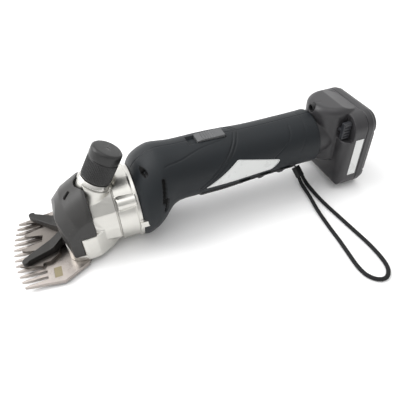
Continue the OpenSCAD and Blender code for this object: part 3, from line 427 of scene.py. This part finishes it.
LOOKS = {
    "blade_steel": dict(
        color=(0.38, 0.345, 0.32), rough=0.34, mottle=9, grain=0.5, bump=0.004,
        streak=(0.18, 5.0, 5.0), extra=comb_mark, **STEEL,
    ),
    "fork_steel": dict(
        color=(0.035, 0.034, 0.033), rough=0.40, metallic=0.8, mottle=7, grain=0.4,
        bump=0.012, wear=0.5, wear_color=(0.28, 0.27, 0.25),
    ),
    "bright_steel": dict(
        color=(0.70, 0.70, 0.71), rough=0.22, mottle=6, grain=0.5, bump=0.003,
        streak=(4.0, 4.0, 0.4), **STEEL,
    ),
    # black-oxide steel, dark also as painted shade for the screw head seen at the bottom of the
    # front bore
    "screw_steel": dict(
        color=(0.03, 0.03, 0.032), rough=0.45, metallic=0.7, mottle=4, grain=0.4, bump=0.004,
        wear=0.3, wear_color=(0.30, 0.30, 0.30),
    ),
    "cast_alloy": dict(
        color=(0.62, 0.61, 0.575), rough=0.36, metallic=1.0, vary=0.05, mottle=12, grain=0.45,
        bump=0.010, wear=0.35, wear_color=(0.93, 0.92, 0.90), dense=True, dirt=0.5,
    ),
    "cover_plastic": dict(
        color=(0.036, 0.035, 0.034), rough=0.38, mottle=16, grain=0.3, bump=0.008, wear=0.3,
        wear_color=(0.15, 0.15, 0.15), dense=True, dirt=0.5, specular_ior_level=0.32,
    ),
    "knob_plastic": dict(
        color=(0.018, 0.018, 0.018), rough=0.36, mottle=9, grain=0.25, bump=0.008, wear=0.4,
        wear_color=(0.10, 0.10, 0.10), dense=True, dirt=0.6, specular_ior_level=0.4,
    ),
    "ring_chrome": dict(
        color=(0.64, 0.63, 0.60), rough=0.22, metallic=1.0, vary=0.04, mottle=6, grain=0.5,
        bump=0.002, wear=0.2, wear_color=(0.9, 0.9, 0.88), dense=True, dirt=0.6,
    ),
    "gear_bronze": dict(
        color=(0.60, 0.48, 0.30), rough=0.4, metallic=1.0, mottle=5, grain=0.3, bump=0.010,
        wear=0.4, wear_color=(0.8, 0.7, 0.5),
    ),
    "handle_plastic": dict(
        color=(0.009, 0.0115, 0.014), rough=0.50, vary=0.12, mottle=24, grain=0.28, bump=0.010,
        wear=0.3, wear_color=(0.06, 0.065, 0.07), dense=True, dirt=0.7, deep=True,
        specular_ior_level=0.28,
    ),
    "grip_rubber": dict(
        color=(0.012, 0.012, 0.013), rough=0.6, mottle=12, grain=0.5, bump=0.02, wear=0.2,
        wear_color=(0.04, 0.04, 0.04), dense=True, dirt=0.4, specular_ior_level=0.3,
    ),
    "label_paper": dict(
        color=(0.66, 0.67, 0.66), rough=0.30, vary=0.02, mottle=14, grain=0.3, bump=0.003,
        extra=label_print, coat_weight=0.3, coat_roughness=0.15,
    ),
    "slider_plastic": dict(
        color=(0.085, 0.087, 0.09), rough=0.42, mottle=6, grain=0.25, bump=0.008, wear=0.4,
        wear_color=(0.3, 0.3, 0.3), dense=True, dirt=0.6,
    ),
    "black_plastic": dict(
        color=(0.014, 0.014, 0.015), rough=0.45, mottle=8, grain=0.3, bump=0.010,
        specular_ior_level=0.35, **BLACK,
    ),
    "motor_steel": dict(
        color=(0.55, 0.56, 0.57), rough=0.34, mottle=10, grain=0.5, bump=0.004,
        streak=(0.3, 4.0, 4.0), **STEEL,
    ),
    "magnet": dict(
        color=(0.10, 0.10, 0.11), rough=0.62, mottle=5, grain=0.3, bump=0.02, **BLACK,
    ),
    "copper": dict(
        color=(0.62, 0.30, 0.16), rough=0.32, metallic=1.0, mottle=4, grain=0.5, bump=0.006,
        streak=(0.3, 3.0, 3.0),
    ),
    "contact_brass": dict(
        color=(0.78, 0.62, 0.32), rough=0.28, metallic=1.0, mottle=4, grain=0.5, bump=0.003,
    ),
    "wire": dict(color=(0.38, 0.02, 0.015), rough=0.42, mottle=6, grain=0.4, bump=0.006),
    "battery_plastic": dict(
        color=(0.032, 0.031, 0.033), rough=0.36, vary=0.08, mottle=26, grain=0.3, bump=0.008,
        wear=0.3, wear_color=(0.14, 0.14, 0.15), dense=True, dirt=0.6, specular_ior_level=0.38,
    ),
    "latch_plastic": dict(
        color=(0.022, 0.023, 0.027), rough=0.4, mottle=6, grain=0.28, bump=0.008, wear=0.4,
        wear_color=(0.09, 0.09, 0.10), dense=True, dirt=0.5,
    ),
    "cell_wrap": dict(color=(0.05, 0.22, 0.36), rough=0.3, mottle=14, grain=0.5, bump=0.004),
    "board": dict(color=(0.015, 0.12, 0.05), rough=0.4, mottle=4, grain=0.4, bump=0.01),
    "strap_cord": dict(
        color=(0.009, 0.009, 0.010), rough=0.75, mottle=3, grain=0.18, bump=0.05, dirt=0.8,
        wear=0.5, wear_color=(0.03, 0.03, 0.03), **CORD,
    ),
    "strap_string": dict(
        color=(0.008, 0.008, 0.008), rough=0.7, mottle=2, grain=0.15, bump=0.03, **CORD,
    ),
}
FINISH = {name: surface(name, **look) for name, look in LOOKS.items()}

for node_name, node_object in NODES.items():
    node_object.data.materials.clear()
    node_object.data.materials.append(FINISH[SLOT_OF[node_name]])

# ---------------------------------------------------------------- wrist strap

# the strap's route in the row frame, and the string's in the handle's frame
STRAP = [
    (111.1, -6.8, 6.7), (111.5, -9.2, 4.4), (111.4, -12, 2.7), (110.9, -16.5, 1.9),
    (108.4, -34, 1.9), (104.6, -54, 1.9), (102.2, -75, 1.9), (100.8, -93, 1.9),
    (99, -109, 1.9), (97.8, -121, 1.9), (98.8, -130.5, 1.9), (103.2, -137.2, 1.9),
    (109.8, -139.8, 1.9), (116, -137, 1.9), (120.2, -130, 1.9), (121.9, -119, 1.9),
    (121.8, -104, 1.9), (120, -86, 1.9), (118, -67, 1.9), (116.3, -50, 1.9),
    (115.7, -35, 1.9), (116.3, -18, 1.9), (116.4, -13, 2.6), (116, -9.6, 4.2),
    (115.5, -6.6, 6.8),
]
STRING = [
    (277.4, -0.8, -38.5), (275.6, -2.4, -35.5), (273.6, -4.2, -31.8), (272.8, -3.7, -29.4),
    (272.9, 0, -29.1), (273.2, 3.7, -29.4), (275.6, 4.2, -33), (278.4, 1.2, -38.5),
]
STRAP_R = 1.8
STRING_R = 0.7
BRAID_PITCH = 5.2
TWIST_PITCH = 6.0
FIRST_SIDE = (0.12, 0.1, 0.98)  # roughly upwards, and never along the start of a cord


def cord_mesh(path, radius, sides, relief):
    """Rings along a path that turn with it; relief(s, angle) scales their radius."""
    p = np.asarray(path, float)
    t = np.gradient(p, axis=0)
    t /= np.linalg.norm(t, axis=1)[:, None]
    side = np.cross(t[0], FIRST_SIDE)
    side /= np.linalg.norm(side)
    s = lengths_along(p)
    angle = 2 * np.pi * np.arange(sides) / sides
    rings = []
    for i in range(len(p)):
        side = side - t[i] * np.dot(side, t[i])
        side /= np.linalg.norm(side)
        other = np.cross(t[i], side)
        r = radius * relief(s[i], angle)
        rings.append(p[i] + np.outer(r * np.cos(angle), side) + np.outer(r * np.sin(angle), other))
    verts = np.concatenate(rings)
    faces = [list(f) for f in grid_faces(len(p), sides, wrap_cols=True, flip=True)]
    first, last = list(range(sides)), list(range(len(verts) - sides, len(verts)))
    return verts, faces + [first[::-1], last]


def braid(s, angle):
    """Sixteen-strand braid: two sets of helices passing over and under each other."""
    k = 2 * np.pi * s / BRAID_PITCH
    a = np.cos(4 * angle + 4 * k)
    b = np.cos(4 * angle - 4 * k)
    weave = np.cos(8 * angle) * np.cos(8 * k)
    return 0.965 + 0.035 * (0.5 * np.maximum(a, b) + 0.5 * weave)


def twist(s, angle):
    """Three strands laid round each other."""
    return 0.93 + 0.07 * np.abs(np.cos(1.5 * (angle + 2 * np.pi * s / TWIST_PITCH)))


def add_strap():
    """The braided loop, and the string and the ferrule that hold it."""
    verts, faces = cord_mesh(resample(catmull(STRAP, 12), 0.3), STRAP_R, 28, braid)
    strap = add_piece("strap", verts * MM, faces, "handpiece", "strap_cord", ["wrist_strap"])
    verts, faces = cord_mesh(resample(catmull(STRING, 10), 0.25), STRING_R, 16, twist)
    string = add_piece(
        "string", to_row(verts), faces, "handpiece", "strap_string", ["strap_string"]
    )
    ferrule = remake("strap_ferrule", voxel=0.22, relax=6)


add_strap()

# ---------------------------------------------------------------- handle's form

FRONT, REAR = 110.8, 283.0
# x, height of the centre and radius
STATIONS = np.array([
    (FRONT, -20, 32), (113, -18, 34), (116, -15.8, 35.6), (120, -13, 36), (124, -10.6, 36),
    (128, -8, 35.2), (132, -5.2, 33.7), (136, -2.6, 31.5), (140, -0.6, 29.3), (145, 0.5, 27.7),
    (151, 0.7, 27), (160, 0.6, 26.9), (175, 0.4, 27), (190, 0, 26.9), (205, -0.3, 26.1),
    (220, -0.5, 25.4), (250, -0.5, 25), (275, -0.5, 25), (REAR, -0.5, 25.2),
])
MEAN_R = 27.0


def hermite(x, xs, ys):
    """A smooth curve through the stations."""
    m = np.gradient(ys, xs)
    i = np.clip(np.searchsorted(xs, x) - 1, 0, len(xs) - 2)
    h = xs[i + 1] - xs[i]
    t = (x - xs[i]) / h
    return (
        (2 * t**3 - 3 * t**2 + 1) * ys[i]
        + (t**3 - 2 * t**2 + t) * h * m[i]
        + (-2 * t**3 + 3 * t**2) * ys[i + 1]
        + (t**3 - t**2) * h * m[i + 1]
    )


def centre(x):
    """Height of the handle's middle at station x."""
    return hermite(x, STATIONS[:, 0], STATIONS[:, 1])


def radius(x):
    """Radius of the handle at station x."""
    return hermite(x, STATIONS[:, 0], STATIONS[:, 2])


def skin(x, a, grow=0.0):
    """The handle's surface at station x and angle a from the top towards the near side."""
    r = radius(x) + grow
    return np.stack([x + 0 * a, -r * np.sin(a), centre(x) + r * np.cos(a)], axis=-1)


def skin_and_normals(x, a):
    """The surface over a grid of stations and angles, and its outward normals."""
    p = skin(x, a)
    n = np.cross(np.gradient(p, axis=1), np.gradient(p, axis=0))
    n /= np.linalg.norm(n, axis=2)[:, :, None]
    outward = skin(x, a, 1.0) - p
    return p, n * np.sign((n * outward).sum(2))[:, :, None]


def on_skin(points):
    """A smooth line on the skin through points of the near side."""
    p = np.asarray(points, float)
    a = np.arctan2(-p[:, 1], p[:, 2] - centre(p[:, 0]))
    line = catmull(np.stack([p[:, 0], a * MEAN_R], axis=1), 12)
    return resample(skin(line[:, 0], line[:, 1] / MEAN_R), 0.2)


def distance(points, line):
    """Distance of each point from a line of closely spaced points; huge well away from it."""
    out = np.full(len(points), 1e9)
    low, high = line.min(0) - 4, line.max(0) + 4
    near = np.where(np.all((points > low) & (points < high), axis=1))[0]
    for k in range(0, len(near), 4000):
        part = near[k : k + 4000]
        d = points[part][:, None, :] - line[None, :, :]
        out[part] = np.sqrt((d * d).sum(-1)).min(1)
    return out


def cut(d, half, depth, soft):
    """Depth of a groove of a half width with soft edges, at a distance from its middle."""
    return depth * smoothstep((half + soft - d) / (2 * soft))


def ring(angles, x, height, r):
    """A half circle at station x round a centre at a height."""
    return np.stack([np.full(len(angles), x), -r * np.sin(angles), height + r * np.cos(angles)], 1)


# ---------------------------------------------------------------- handle's shells

PANEL_LINE = [(191.6, -8.5, 25.3), (170, -11.8, 24.6), (150.6, -16.9, 21.8), (136.7, -20, 21.3)]
S_GROOVE = [(207, -0.2, 25.8), (206, -3.6, 25.3), (200, -14.5, 21.5), (191, -22.6, 14.2),
            (177, -26.7, 3.4), (165.4, -26, -6.6)]
REAR_LINE = [(256, -8.4, 22.9), (252, -19.6, 14.9), (235.7, -24.6, 3.8)]
TAIL_LINE = [(270.5, -0.1, 24.5), (270.5, -10, 22.4), (268.5, -20, 14), (262, -24.6, 2)]
# plain grooves: route, half width, depth and softness of the edges
GROOVES = [
    (PANEL_LINE, 0.40, 0.55, 0.35),
    (REAR_LINE, 0.45, 0.60, 0.4),
    (TAIL_LINE, 0.4, 0.25, 0.4),
]
S_APART = 1.6  # the S groove is a raised line with a groove this far to each side of it
VENTS = [
    [(132.9, -27, 14.6), (131.5, -31.5, 6), (129.8, -34, -2.3)],
    [(132.8, -33, -1), (131.6, -34, -6), (130.2, -34, -10.9)],
]
VENT_HALF, VENT_DEPTH, VENT_LIP = 1.5, 2.0, 0.12
SEAM_FROM, SEAM_HALF, SEAM_DEPTH = 112, 0.45, 0.28
RIM_REACH, RIM_DEPTH = 0.9, 0.5
LIP_REACH, LIP_DEPTH = 0.8, 0.22
# pockets sunk from the top: both ends, half width, floor's height and how dark its painted shade
# is
POCKET = (163.0, 196.6, 5.9, 24.4, 0.0)
STEM_SLOT = (183.2, 194.8, 2.3, 20.2, 0.85)
TOP_ONLY = 10  # pockets and bores touch only the skin above this height
BORE_X, BORE_Z, BORE_R, BORE_FLOOR = 120, 19, 2.4, -13.8
WALL = 2.5
OPENING = (13.3, 12.8)  # half width and half height of the rear opening
OUTSIDE_R = 24.6  # where the rear wall's outside begins
INSIDE_R = 22.5
REAR_WALL = 279.0  # inside face of the rear wall
# the seat for the gear case, from the inside to the front rim: x, centre's height and radius
SEAT = [(113.1, -18.6, 31.4), (113.1, -20, 29.4), (113.0, -20, 29.3), (110.9, -20, 29.3),
        (FRONT, -20, 29.5), (FRONT, -20, 31.3)]


def with_edges(values, edges, gap, clear):
    """Values in order, with a close pair round each edge and none crowding it."""
    pairs = [edge + side * gap for edge in edges for side in (-1, 1)]
    kept = [v for v in values if min(abs(v - p) for p in pairs) > clear]
    return np.array(sorted(kept + pairs))


def handle_grid(step):
    """Stations and angles of a half shell, crisp at the edges of the pockets."""
    nose, end = 116, 282.9
    stations = [*np.arange(FRONT, nose, 0.3), *np.arange(nose, end, step), end - 0.4]
    stations = with_edges(stations, [*POCKET[:2], *STEM_SLOT[:2]], 0.03, 0.15)
    angles = np.linspace(0, math.pi, int(math.pi * MEAN_R / step))
    sides = [math.asin(pocket[2] / (MEAN_R - 0.05)) for pocket in (POCKET, STEM_SLOT)]
    return stations, with_edges(angles, sides, 0.001, 0.006)


def groove_depths(flat):
    """How far each point of the skin sinks along its normal."""
    deep = np.zeros(len(flat))
    for route, half, depth, soft in GROOVES:
        deep += cut(distance(flat, on_skin(route)), half, depth, soft)
    d = distance(flat, on_skin(S_GROOVE))
    deep += cut(np.abs(d - S_APART), 0.50, 0.75, 0.40) - cut(d, 0.6, 0.15, 0.5)
    # cooling slots with a raised edge
    for vent in VENTS:
        d = distance(flat, on_skin(vent))
        edge = np.exp(-(((d - 1.5 * VENT_HALF) / 0.45) ** 2))
        deep += cut(d, VENT_HALF, VENT_DEPTH, 0.25) - VENT_LIP * edge
    # the joint between the halves
    seam = np.abs(flat[:, 1])
    joint = SEAM_DEPTH * np.clip(1 - seam / SEAM_HALF, 0, 1)
    deep += np.where(flat[:, 0] > SEAM_FROM, joint, 0)
    # rounded front and rear rims
    for edge, inward in ((FRONT, 1), (REAR, -1)):
        away = (flat[:, 0] - edge) * inward
        deep += RIM_DEPTH * np.clip(1 - away / RIM_REACH, 0, 1) ** 2
    # soft lip round the slider's pocket
    dx = np.maximum(POCKET[0] - flat[:, 0], flat[:, 0] - POCKET[1])
    dy = seam - POCKET[2]
    gap = np.where((dx > 0) & (dy > 0), np.hypot(dx, dy), np.maximum(dx, dy))
    lip = (gap > 0) & (gap < LIP_REACH) & (flat[:, 2] > TOP_ONLY)
    return deep + np.where(lip, LIP_DEPTH * (1 - gap / LIP_REACH) ** 2, 0)


def vent_shade(flat):
    """Painted shade: 1 at the bottom of the cooling slots and 0 away from them."""
    shade = np.zeros(len(flat))
    for vent in VENTS:
        d = distance(flat, on_skin(vent))
        shade = np.maximum(shade, smoothstep((1.85 - d) / 0.5))
    return shade


def sink_pockets(flat, moved, shade):
    """The slider's pocket and the slot for the slider's stem, with painted shade in the slot."""
    for x0, x1, half, floor, dark in (POCKET, STEM_SLOT):
        inside = (flat[:, 0] > x0) & (flat[:, 0] < x1)
        inside &= (np.abs(flat[:, 1]) < half) & (flat[:, 2] > TOP_ONLY)
        moved[inside, 2] = np.minimum(moved[inside, 2], floor)
        shade[inside] = np.maximum(shade[inside], dark)


def sink_bore(flat, moved, shade):
    """The bore for the front screw, sunk along y into the near shell, with painted shade inside
    it.
    """
    r = np.hypot(flat[:, 0] - BORE_X, flat[:, 2] - BORE_Z)
    rim = np.abs(r - BORE_R) < 0.35
    pull = (BORE_R - r[rim]) / np.maximum(r[rim], 0.1)
    moved[rim, 0] += (flat[rim, 0] - BORE_X) * pull
    above = flat[:, 2] > TOP_ONLY
    inside = (r < BORE_R - 0.34) & above
    moved[inside, 1] = np.maximum(moved[inside, 1], BORE_FLOOR)
    shade[(r < BORE_R) & above] = 1.0


def inner_rows(angles):
    """Rows from the rear rim, through the rear opening, along the inside and to the front rim."""
    centre_z = STATIONS[-1, 1]
    reach = np.minimum(OPENING[0] / np.maximum(np.abs(np.sin(angles)), 1e-6),
                       OPENING[1] / np.maximum(np.abs(np.cos(angles)), 1e-6))
    opening = ring(angles, 0.0, 0.0, reach)
    tail = ring(angles, REAR, centre_z, OUTSIDE_R)
    rows = [tail]
    for t in (0.02, 0.5, 0.97, 1.0):
        row = tail * (1 - t) + opening * t
        row[:, 0] = REAR
        rows.append(row)
    for x in (REAR - 0.4, REAR_WALL + 0.05, REAR_WALL):
        row = opening.copy()
        row[:, 0] = x
        rows.append(row)
    rows += [ring(angles, x, centre_z, INSIDE_R) for x in (REAR_WALL, REAR_WALL - 0.2)]
    for x in np.arange(275, 114, -5.0):
        rows.append(ring(angles, x, float(centre(x)), float(radius(x)) - WALL))
    rows += [ring(angles, *seat) for seat in SEAT]
    return np.array(rows)


def add_shell(name, node, side):
    """One half shell: side -1 is near the camera and +1 is far."""
    stations, angles = handle_grid(0.62)
    points, normals = skin_and_normals(*np.meshgrid(stations, angles, indexing="ij"))
    flat = points.reshape(-1, 3)
    shade = vent_shade(flat)
    moved = flat - normals.reshape(-1, 3) * groove_depths(flat)[:, None]
    sink_pockets(flat, moved, shade)
    if side < 0:
        sink_bore(flat, moved, shade)
    inner = inner_rows(angles)
    rows = np.concatenate([moved.reshape(points.shape), inner])
    shades = np.concatenate([shade, np.zeros(inner.shape[0] * len(angles))])
    rows[:, :, 1] *= -side
    faces = grid_faces(len(rows), len(angles), wrap_rows=True, flip=side > 0)
    add_piece(name, to_row(rows.reshape(-1, 3)), faces, "handpiece", "handle_plastic",
              [node], shade=shades)


# ---------------------------------------------------------------- finger grip and label

GRIP_ENDS = (166, 262)
GRIP_EDGE = -14.0  # height of the grip's upper edges
GRIP_THICK = 1.2
GRIP_SINK = 0.2  # how far the grip's edge lies under the skin
STOPS = (208, 229, 250)
STOP_R = 28.2
STOP_HALF = 5.4
PORE = 2.4


def grip_row(x, u):
    """A row of points across the grip at station x, with u from -1 to 1."""
    r, height = float(radius(np.array([x]))[0]), float(centre(np.array([x]))[0])
    outer = r + GRIP_THICK
    reach = math.pi - math.acos(np.clip((GRIP_EDGE - height) / outer, -1, 1))
    a = math.pi + u * reach
    y = outer * np.sin(a)
    rim = np.minimum((1 - np.abs(u)) * reach * r, min(x - GRIP_ENDS[0], GRIP_ENDS[1] - x))
    lift = -GRIP_SINK + (GRIP_THICK + GRIP_SINK) * smoothstep((rim + 0.1) / 1.5)
    for stop in STOPS:
        t = 1 - abs(x - stop) / STOP_HALF
        if t > 0:
            crest = smoothstep(t * 1.25) * smoothstep((17.5 - np.abs(y)) / 4.0)
            crest = crest * smoothstep(rim / 2.0)
            lift = np.maximum(lift, GRIP_THICK + (STOP_R - outer) * crest)
    pores = np.cos(2 * np.pi * x / PORE) * np.cos(2 * np.pi * a * r / PORE) > 0.55
    lift = lift - 0.10 * pores
    out = np.stack([0 * a, -np.sin(a) * lift, np.cos(a) * lift], 1)
    return skin(np.full(len(a), x), a) + out


def add_grip():
    """The soft strip under the handle, with three finger stops."""
    step = 0.6
    stations = np.arange(GRIP_ENDS[0], GRIP_ENDS[1] + 0.01, step)
    u = np.linspace(-1, 1, int(60 / step))
    verts = np.concatenate([grip_row(x, u) for x in stations])
    faces = grid_faces(len(stations), len(u))
    add_piece("grip", to_row(verts), faces, "handpiece", "grip_rubber", ["finger_grip"])


LABEL = [(169, -7.6), (200, 12), (241, 1), (240, -2), (234, -8.6), (210, -8.8)]  # x and z
LABEL_CORNER = 1.6
LABEL_THICK = 0.32
# how much the outline shrinks from ring to ring: edge, border, then the face to its middle
LABEL_EDGE = [1.0, 1.0, 0.992, 0.975]
LABEL_BORDER = [0.965, 0.955]
LABEL_FACE = [0.945, 0.93, *np.linspace(0.9, 0.02, 16)]


def rounded_outline(corners, cut_back, step):
    """A closed outline with its corners rounded, as evenly spaced points."""
    corners = np.asarray(corners, float)
    points = []
    for i, b in enumerate(corners):
        a, c = corners[i - 1], corners[(i + 1) % len(corners)]
        start = b + (a - b) / np.linalg.norm(a - b) * cut_back
        end = b + (c - b) / np.linalg.norm(c - b) * cut_back
        for t in np.linspace(0, 1, 7):
            points.append((1 - t) ** 2 * start + 2 * t * (1 - t) * b + t * t * end)
    return resample(np.array(points + [points[0]]), step)[:-1]


def add_label():
    """The blank rating label, as rings on the skin that shrink towards the middle."""
    outline = rounded_outline(LABEL, LABEL_CORNER, 0.6)
    middle = outline.mean(0)
    scales = LABEL_EDGE + LABEL_BORDER + LABEL_FACE
    heights = [-0.1, LABEL_THICK * 0.7] + [LABEL_THICK] * (len(scales) - 2)
    rows, shade = [], []
    for scale, height in zip(scales, heights):
        x, z = (middle + (outline - middle) * scale).T
        across = (radius(x) + height) ** 2 - (z - centre(x)) ** 2
        rows.append(np.stack([x, -np.sqrt(np.maximum(across, 1)), z], 1))
        shade += [1.0 if scale in LABEL_BORDER else 0.0] * len(outline)
    verts = np.concatenate(rows)
    faces = [list(f) for f in grid_faces(len(rows), len(outline), wrap_cols=True, flip=True)]
    faces.append(list(range(len(verts) - len(outline), len(verts))))
    add_piece("rating_plate", to_row(verts), faces, "handpiece", "label_paper",
              ["rating_label"], shade=shade)


add_shell("shell_near", "housing_near", -1)
add_shell("shell_far", "housing_far", 1)
add_grip()
add_label()
remake("switch_slider", voxel=0.2, relax=3)

# ---------------------------------------------------------------- knob and ring

LEAN = math.radians(30.7)
FOOT = np.array([83.4, 0.0, 14.4])  # where the knob's underside crosses its axis
AXIS = np.array([math.sin(LEAN), 0, math.cos(LEAN)])
CROSS = np.array([math.cos(LEAN), 0, -math.sin(LEAN)])
RIBS = 60
RIB_DEPTH = 0.45
KNURL = (0.9, 18.3)  # heights between which the knob is knurled
KNOB_R = 12.4
CAP_R = 12.9
KNOB_H = 28.5
SOCKET_R = 8.04
PIN_R = 4.04
RING_R = 14.3


def turned(name, profile, sides, body, slot, node, relief=None):
    """A closed profile of (radius, height) turned about the knob's axis."""
    angle = 2 * np.pi * np.arange(sides) / sides
    rows = []
    for r, s in profile:
        rr = np.full(sides, r) if relief is None else r + relief(r, s, angle)
        rows.append(FOOT + np.outer(rr * np.cos(angle), CROSS)
                    + np.outer(rr * np.sin(angle), [0, 1, 0]) + s * AXIS)
    faces = grid_faces(len(rows), sides, wrap_rows=True, wrap_cols=True, flip=True)
    add_piece(name, to_row(np.concatenate(rows)), faces, body, slot, [node])


def knurl(r, s, angle):
    """Height of the ribs on the knob's side, fading out at both ends."""
    start, end = KNURL
    if r < 11.8 or not start < s < end:
        return 0 * angle
    fade = smoothstep((s - start) / 0.7) * smoothstep((end - s) / 0.7)
    return fade * RIB_DEPTH * np.clip(0.5 + 0.9 * np.cos(RIBS * angle), 0, 1)


def add_knob():
    """The tension knob with its cap, and the silver ring and sleeve under it."""
    foot = [(SOCKET_R, 0.0), (11.8, 0.0), (12.2, 0.15), (KNOB_R, 0.5), (KNOB_R, 0.9)]
    side = [(KNOB_R, s) for s in (*np.linspace(1.2, 18.0, 24), 18.3)]
    groove = [(12.35, 18.6), (11.95, 18.75), (11.85, 19.1), (11.95, 19.4)]
    cap = [(12.6, 19.55), (12.8, 19.75), (12.88, 20.1), (CAP_R, 22.2), (CAP_R, 24.2),
           (CAP_R, 26.1), (12.85, 26.6), (12.65, 27.1), (12.0, 27.8), (11.4, 28.25),
           (11.1, 28.4), (10.7, 28.47)]
    top = [(r, KNOB_H) for r in (8, 5, 2, 0.05)]
    socket = [(0.05, 22.0), (7.9, 22.0), (SOCKET_R, 21.8)]
    turned("knob_body", foot + side + groove + cap + top + socket, 600,
           "knob", "knob_plastic", "tension_knob", knurl)
    thread = [(PIN_R, 14), (7.9, 14), (8, 13.9), (8, -0.4)]
    rim = [(12.3, -0.4), (12.7, -0.45), (12.95, -0.65), (13.5, -1.4), (14.1, -2.3),
           (14.28, -2.6), (RING_R, -2.9), (14.1, -3.05), (14.1, -3.2), (RING_R, -3.35),
           (RING_R, -4.0), (14.2, -4.15), (14.0, -4.2)]
    turned("knob_ring", thread + rim + [(8, -4.2), (8, -26), (PIN_R, -26)], 160,
           "handpiece", "ring_chrome", "tension_sleeve")


add_knob()

# ---------------------------------------------------------------- head, case and battery

# the shoulder of the casting's neck: height, half width and the eased half width
SHOULDER = ((-3.4, 20.4, 17.6), (-9.0, 23.4, 21.4))


def ease_neck(co):
    """Draws the shoulder of the casting's neck in, so that it runs smoothly from the boss."""
    z = co.z / MM - ORIGIN[2]
    for height, half, eased in SHOULDER:
        if abs(z - height) < 0.3 and abs(abs(co.y) / MM - half) < 0.3:
            return Vector((co.x, math.copysign(eased * MM, co.y), co.z))
    return co


HEAD_VOXEL = 0.38
PACK_VOXEL = 0.55
# voxel size and smoothing passes of the moulded, cast and forged nodes
MOULDED = {
    "head_cover": (HEAD_VOXEL, 6),
    "gear_case": (HEAD_VOXEL, 4),
    "battery_shell": (PACK_VOXEL, 5),
    "battery_base": (PACK_VOXEL, 3),
    "latch_near": (0.22, 3),
    "latch_far": (0.22, 3),
    "strap_lug": (0.2, 3),
    "fork": (0.3, 4),
}
# bevel width and the least angle of an edge that gets one
BEVELLED = {
    "comb": (0.12, 25),
    "cutter": (0.15, 25),
    "comb_screws": (0.2, 30),
    "gear_case_screws": (0.2, 30),
    "battery_label": (0.08, 30),
    "battery_screws": (0.15, 30),
    "charging_socket": (0.15, 30),
}

remake("head_casting", voxel=HEAD_VOXEL, relax=16, move=ease_neck)
for node_name, (voxel_size, passes) in MOULDED.items():
    remake(node_name, voxel=voxel_size, relax=passes)
for node_name, (bevel_width, least_angle) in BEVELLED.items():
    remake(node_name, bevel=bevel_width, angle=least_angle)

# ---------------------------------------------------------------- floor and light

FLOOR_HALF = 40.0
SKY_LEAN = (-0.10, 0.36, 0.33)  # the sky brightens this way, behind the tool and upwards
SKY = [(0.0, 0.30), (0.3, 0.50), (0.5, 0.68), (0.68, 0.92), (1.0, 1.0)]
SKY_STRENGTH = 1.25
# place, target, size and power
LAMPS = {
    "key": ((-1.5, 1.2, 2.5), (0, 0, 0.04), (2.0, 2.0), 42),
    "top": ((0.3, -0.2, 3.0), (0, 0, 0.04), (2.2, 1.8), 12),
    "strip": ((-1.7, 0.4, 1.2), (0, 0, 0.06), (0.7, 1.4), 12),
}


def add_floor():
    mesh = bpy.data.meshes.new("floor")
    s = FLOOR_HALF
    mesh.from_pydata([(-s, -s, 0), (s, -s, 0), (s, s, 0), (-s, s, 0)], [], [(0, 1, 2, 3)])
    floor = bpy.data.objects.new("floor", mesh)
    SCENE.collection.objects.link(floor)
    g = Graph("floor")
    tone = g.mix(g.remap(g.noise(300), 0.3, 0.7), (0.90, 0.90, 0.90), (0.93, 0.93, 0.93))
    g.put(g.shader.inputs["Base Color"], tone)
    g.put(g.shader.inputs["Roughness"], 0.9)
    g.shader.inputs["Specular IOR Level"].default_value = 0.1
    mesh.materials.append(g.mat)


def add_sky():
    """A studio sky: bright above and behind the tool, darker on the camera's side."""
    world = bpy.data.worlds.new("studio")
    SCENE.world = world
    world.use_nodes = True
    tree = world.node_tree
    tree.nodes.clear()
    out = tree.nodes.new("ShaderNodeOutputWorld")
    back = tree.nodes.new("ShaderNodeBackground")
    coord = tree.nodes.new("ShaderNodeTexCoord")
    lean = tree.nodes.new("ShaderNodeVectorMath")
    lean.operation = "DOT_PRODUCT"
    lean.inputs[1].default_value = SKY_LEAN
    shift = tree.nodes.new("ShaderNodeMath")
    shift.operation = "ADD"
    shift.inputs[1].default_value = 0.5
    ramp = tree.nodes.new("ShaderNodeValToRGB")
    tree.links.new(coord.outputs["Generated"], lean.inputs[0])
    tree.links.new(lean.outputs["Value"], shift.inputs[0])
    tree.links.new(shift.outputs[0], ramp.inputs[0])
    tree.links.new(ramp.outputs[0], back.inputs[0])
    tree.links.new(back.outputs[0], out.inputs[0])
    stops = ramp.color_ramp.elements
    for at, _ in SKY[1:-1]:
        stops.new(at)
    for stop, (at, level) in zip(stops, SKY):
        stop.position = at
        stop.color = (level, level, level, 1)
    back.inputs["Strength"].default_value = SKY_STRENGTH


def add_lamp(name, at, target, size, power):
    """An area lamp that faces a target."""
    data = bpy.data.lights.new(name, "AREA")
    data.shape = "RECTANGLE"
    data.size, data.size_y = size
    data.energy = power
    lamp = bpy.data.objects.new(name, data)
    SCENE.collection.objects.link(lamp)
    lamp.location = at
    lamp.rotation_euler = (Vector(target) - Vector(at)).to_track_quat("-Z", "Y").to_euler()


add_floor()
add_sky()
for lamp_name, lamp_facts in LAMPS.items():
    add_lamp(lamp_name, *lamp_facts)
SCENE.view_settings.view_transform = "Standard"
SCENE.view_settings.look = "None"
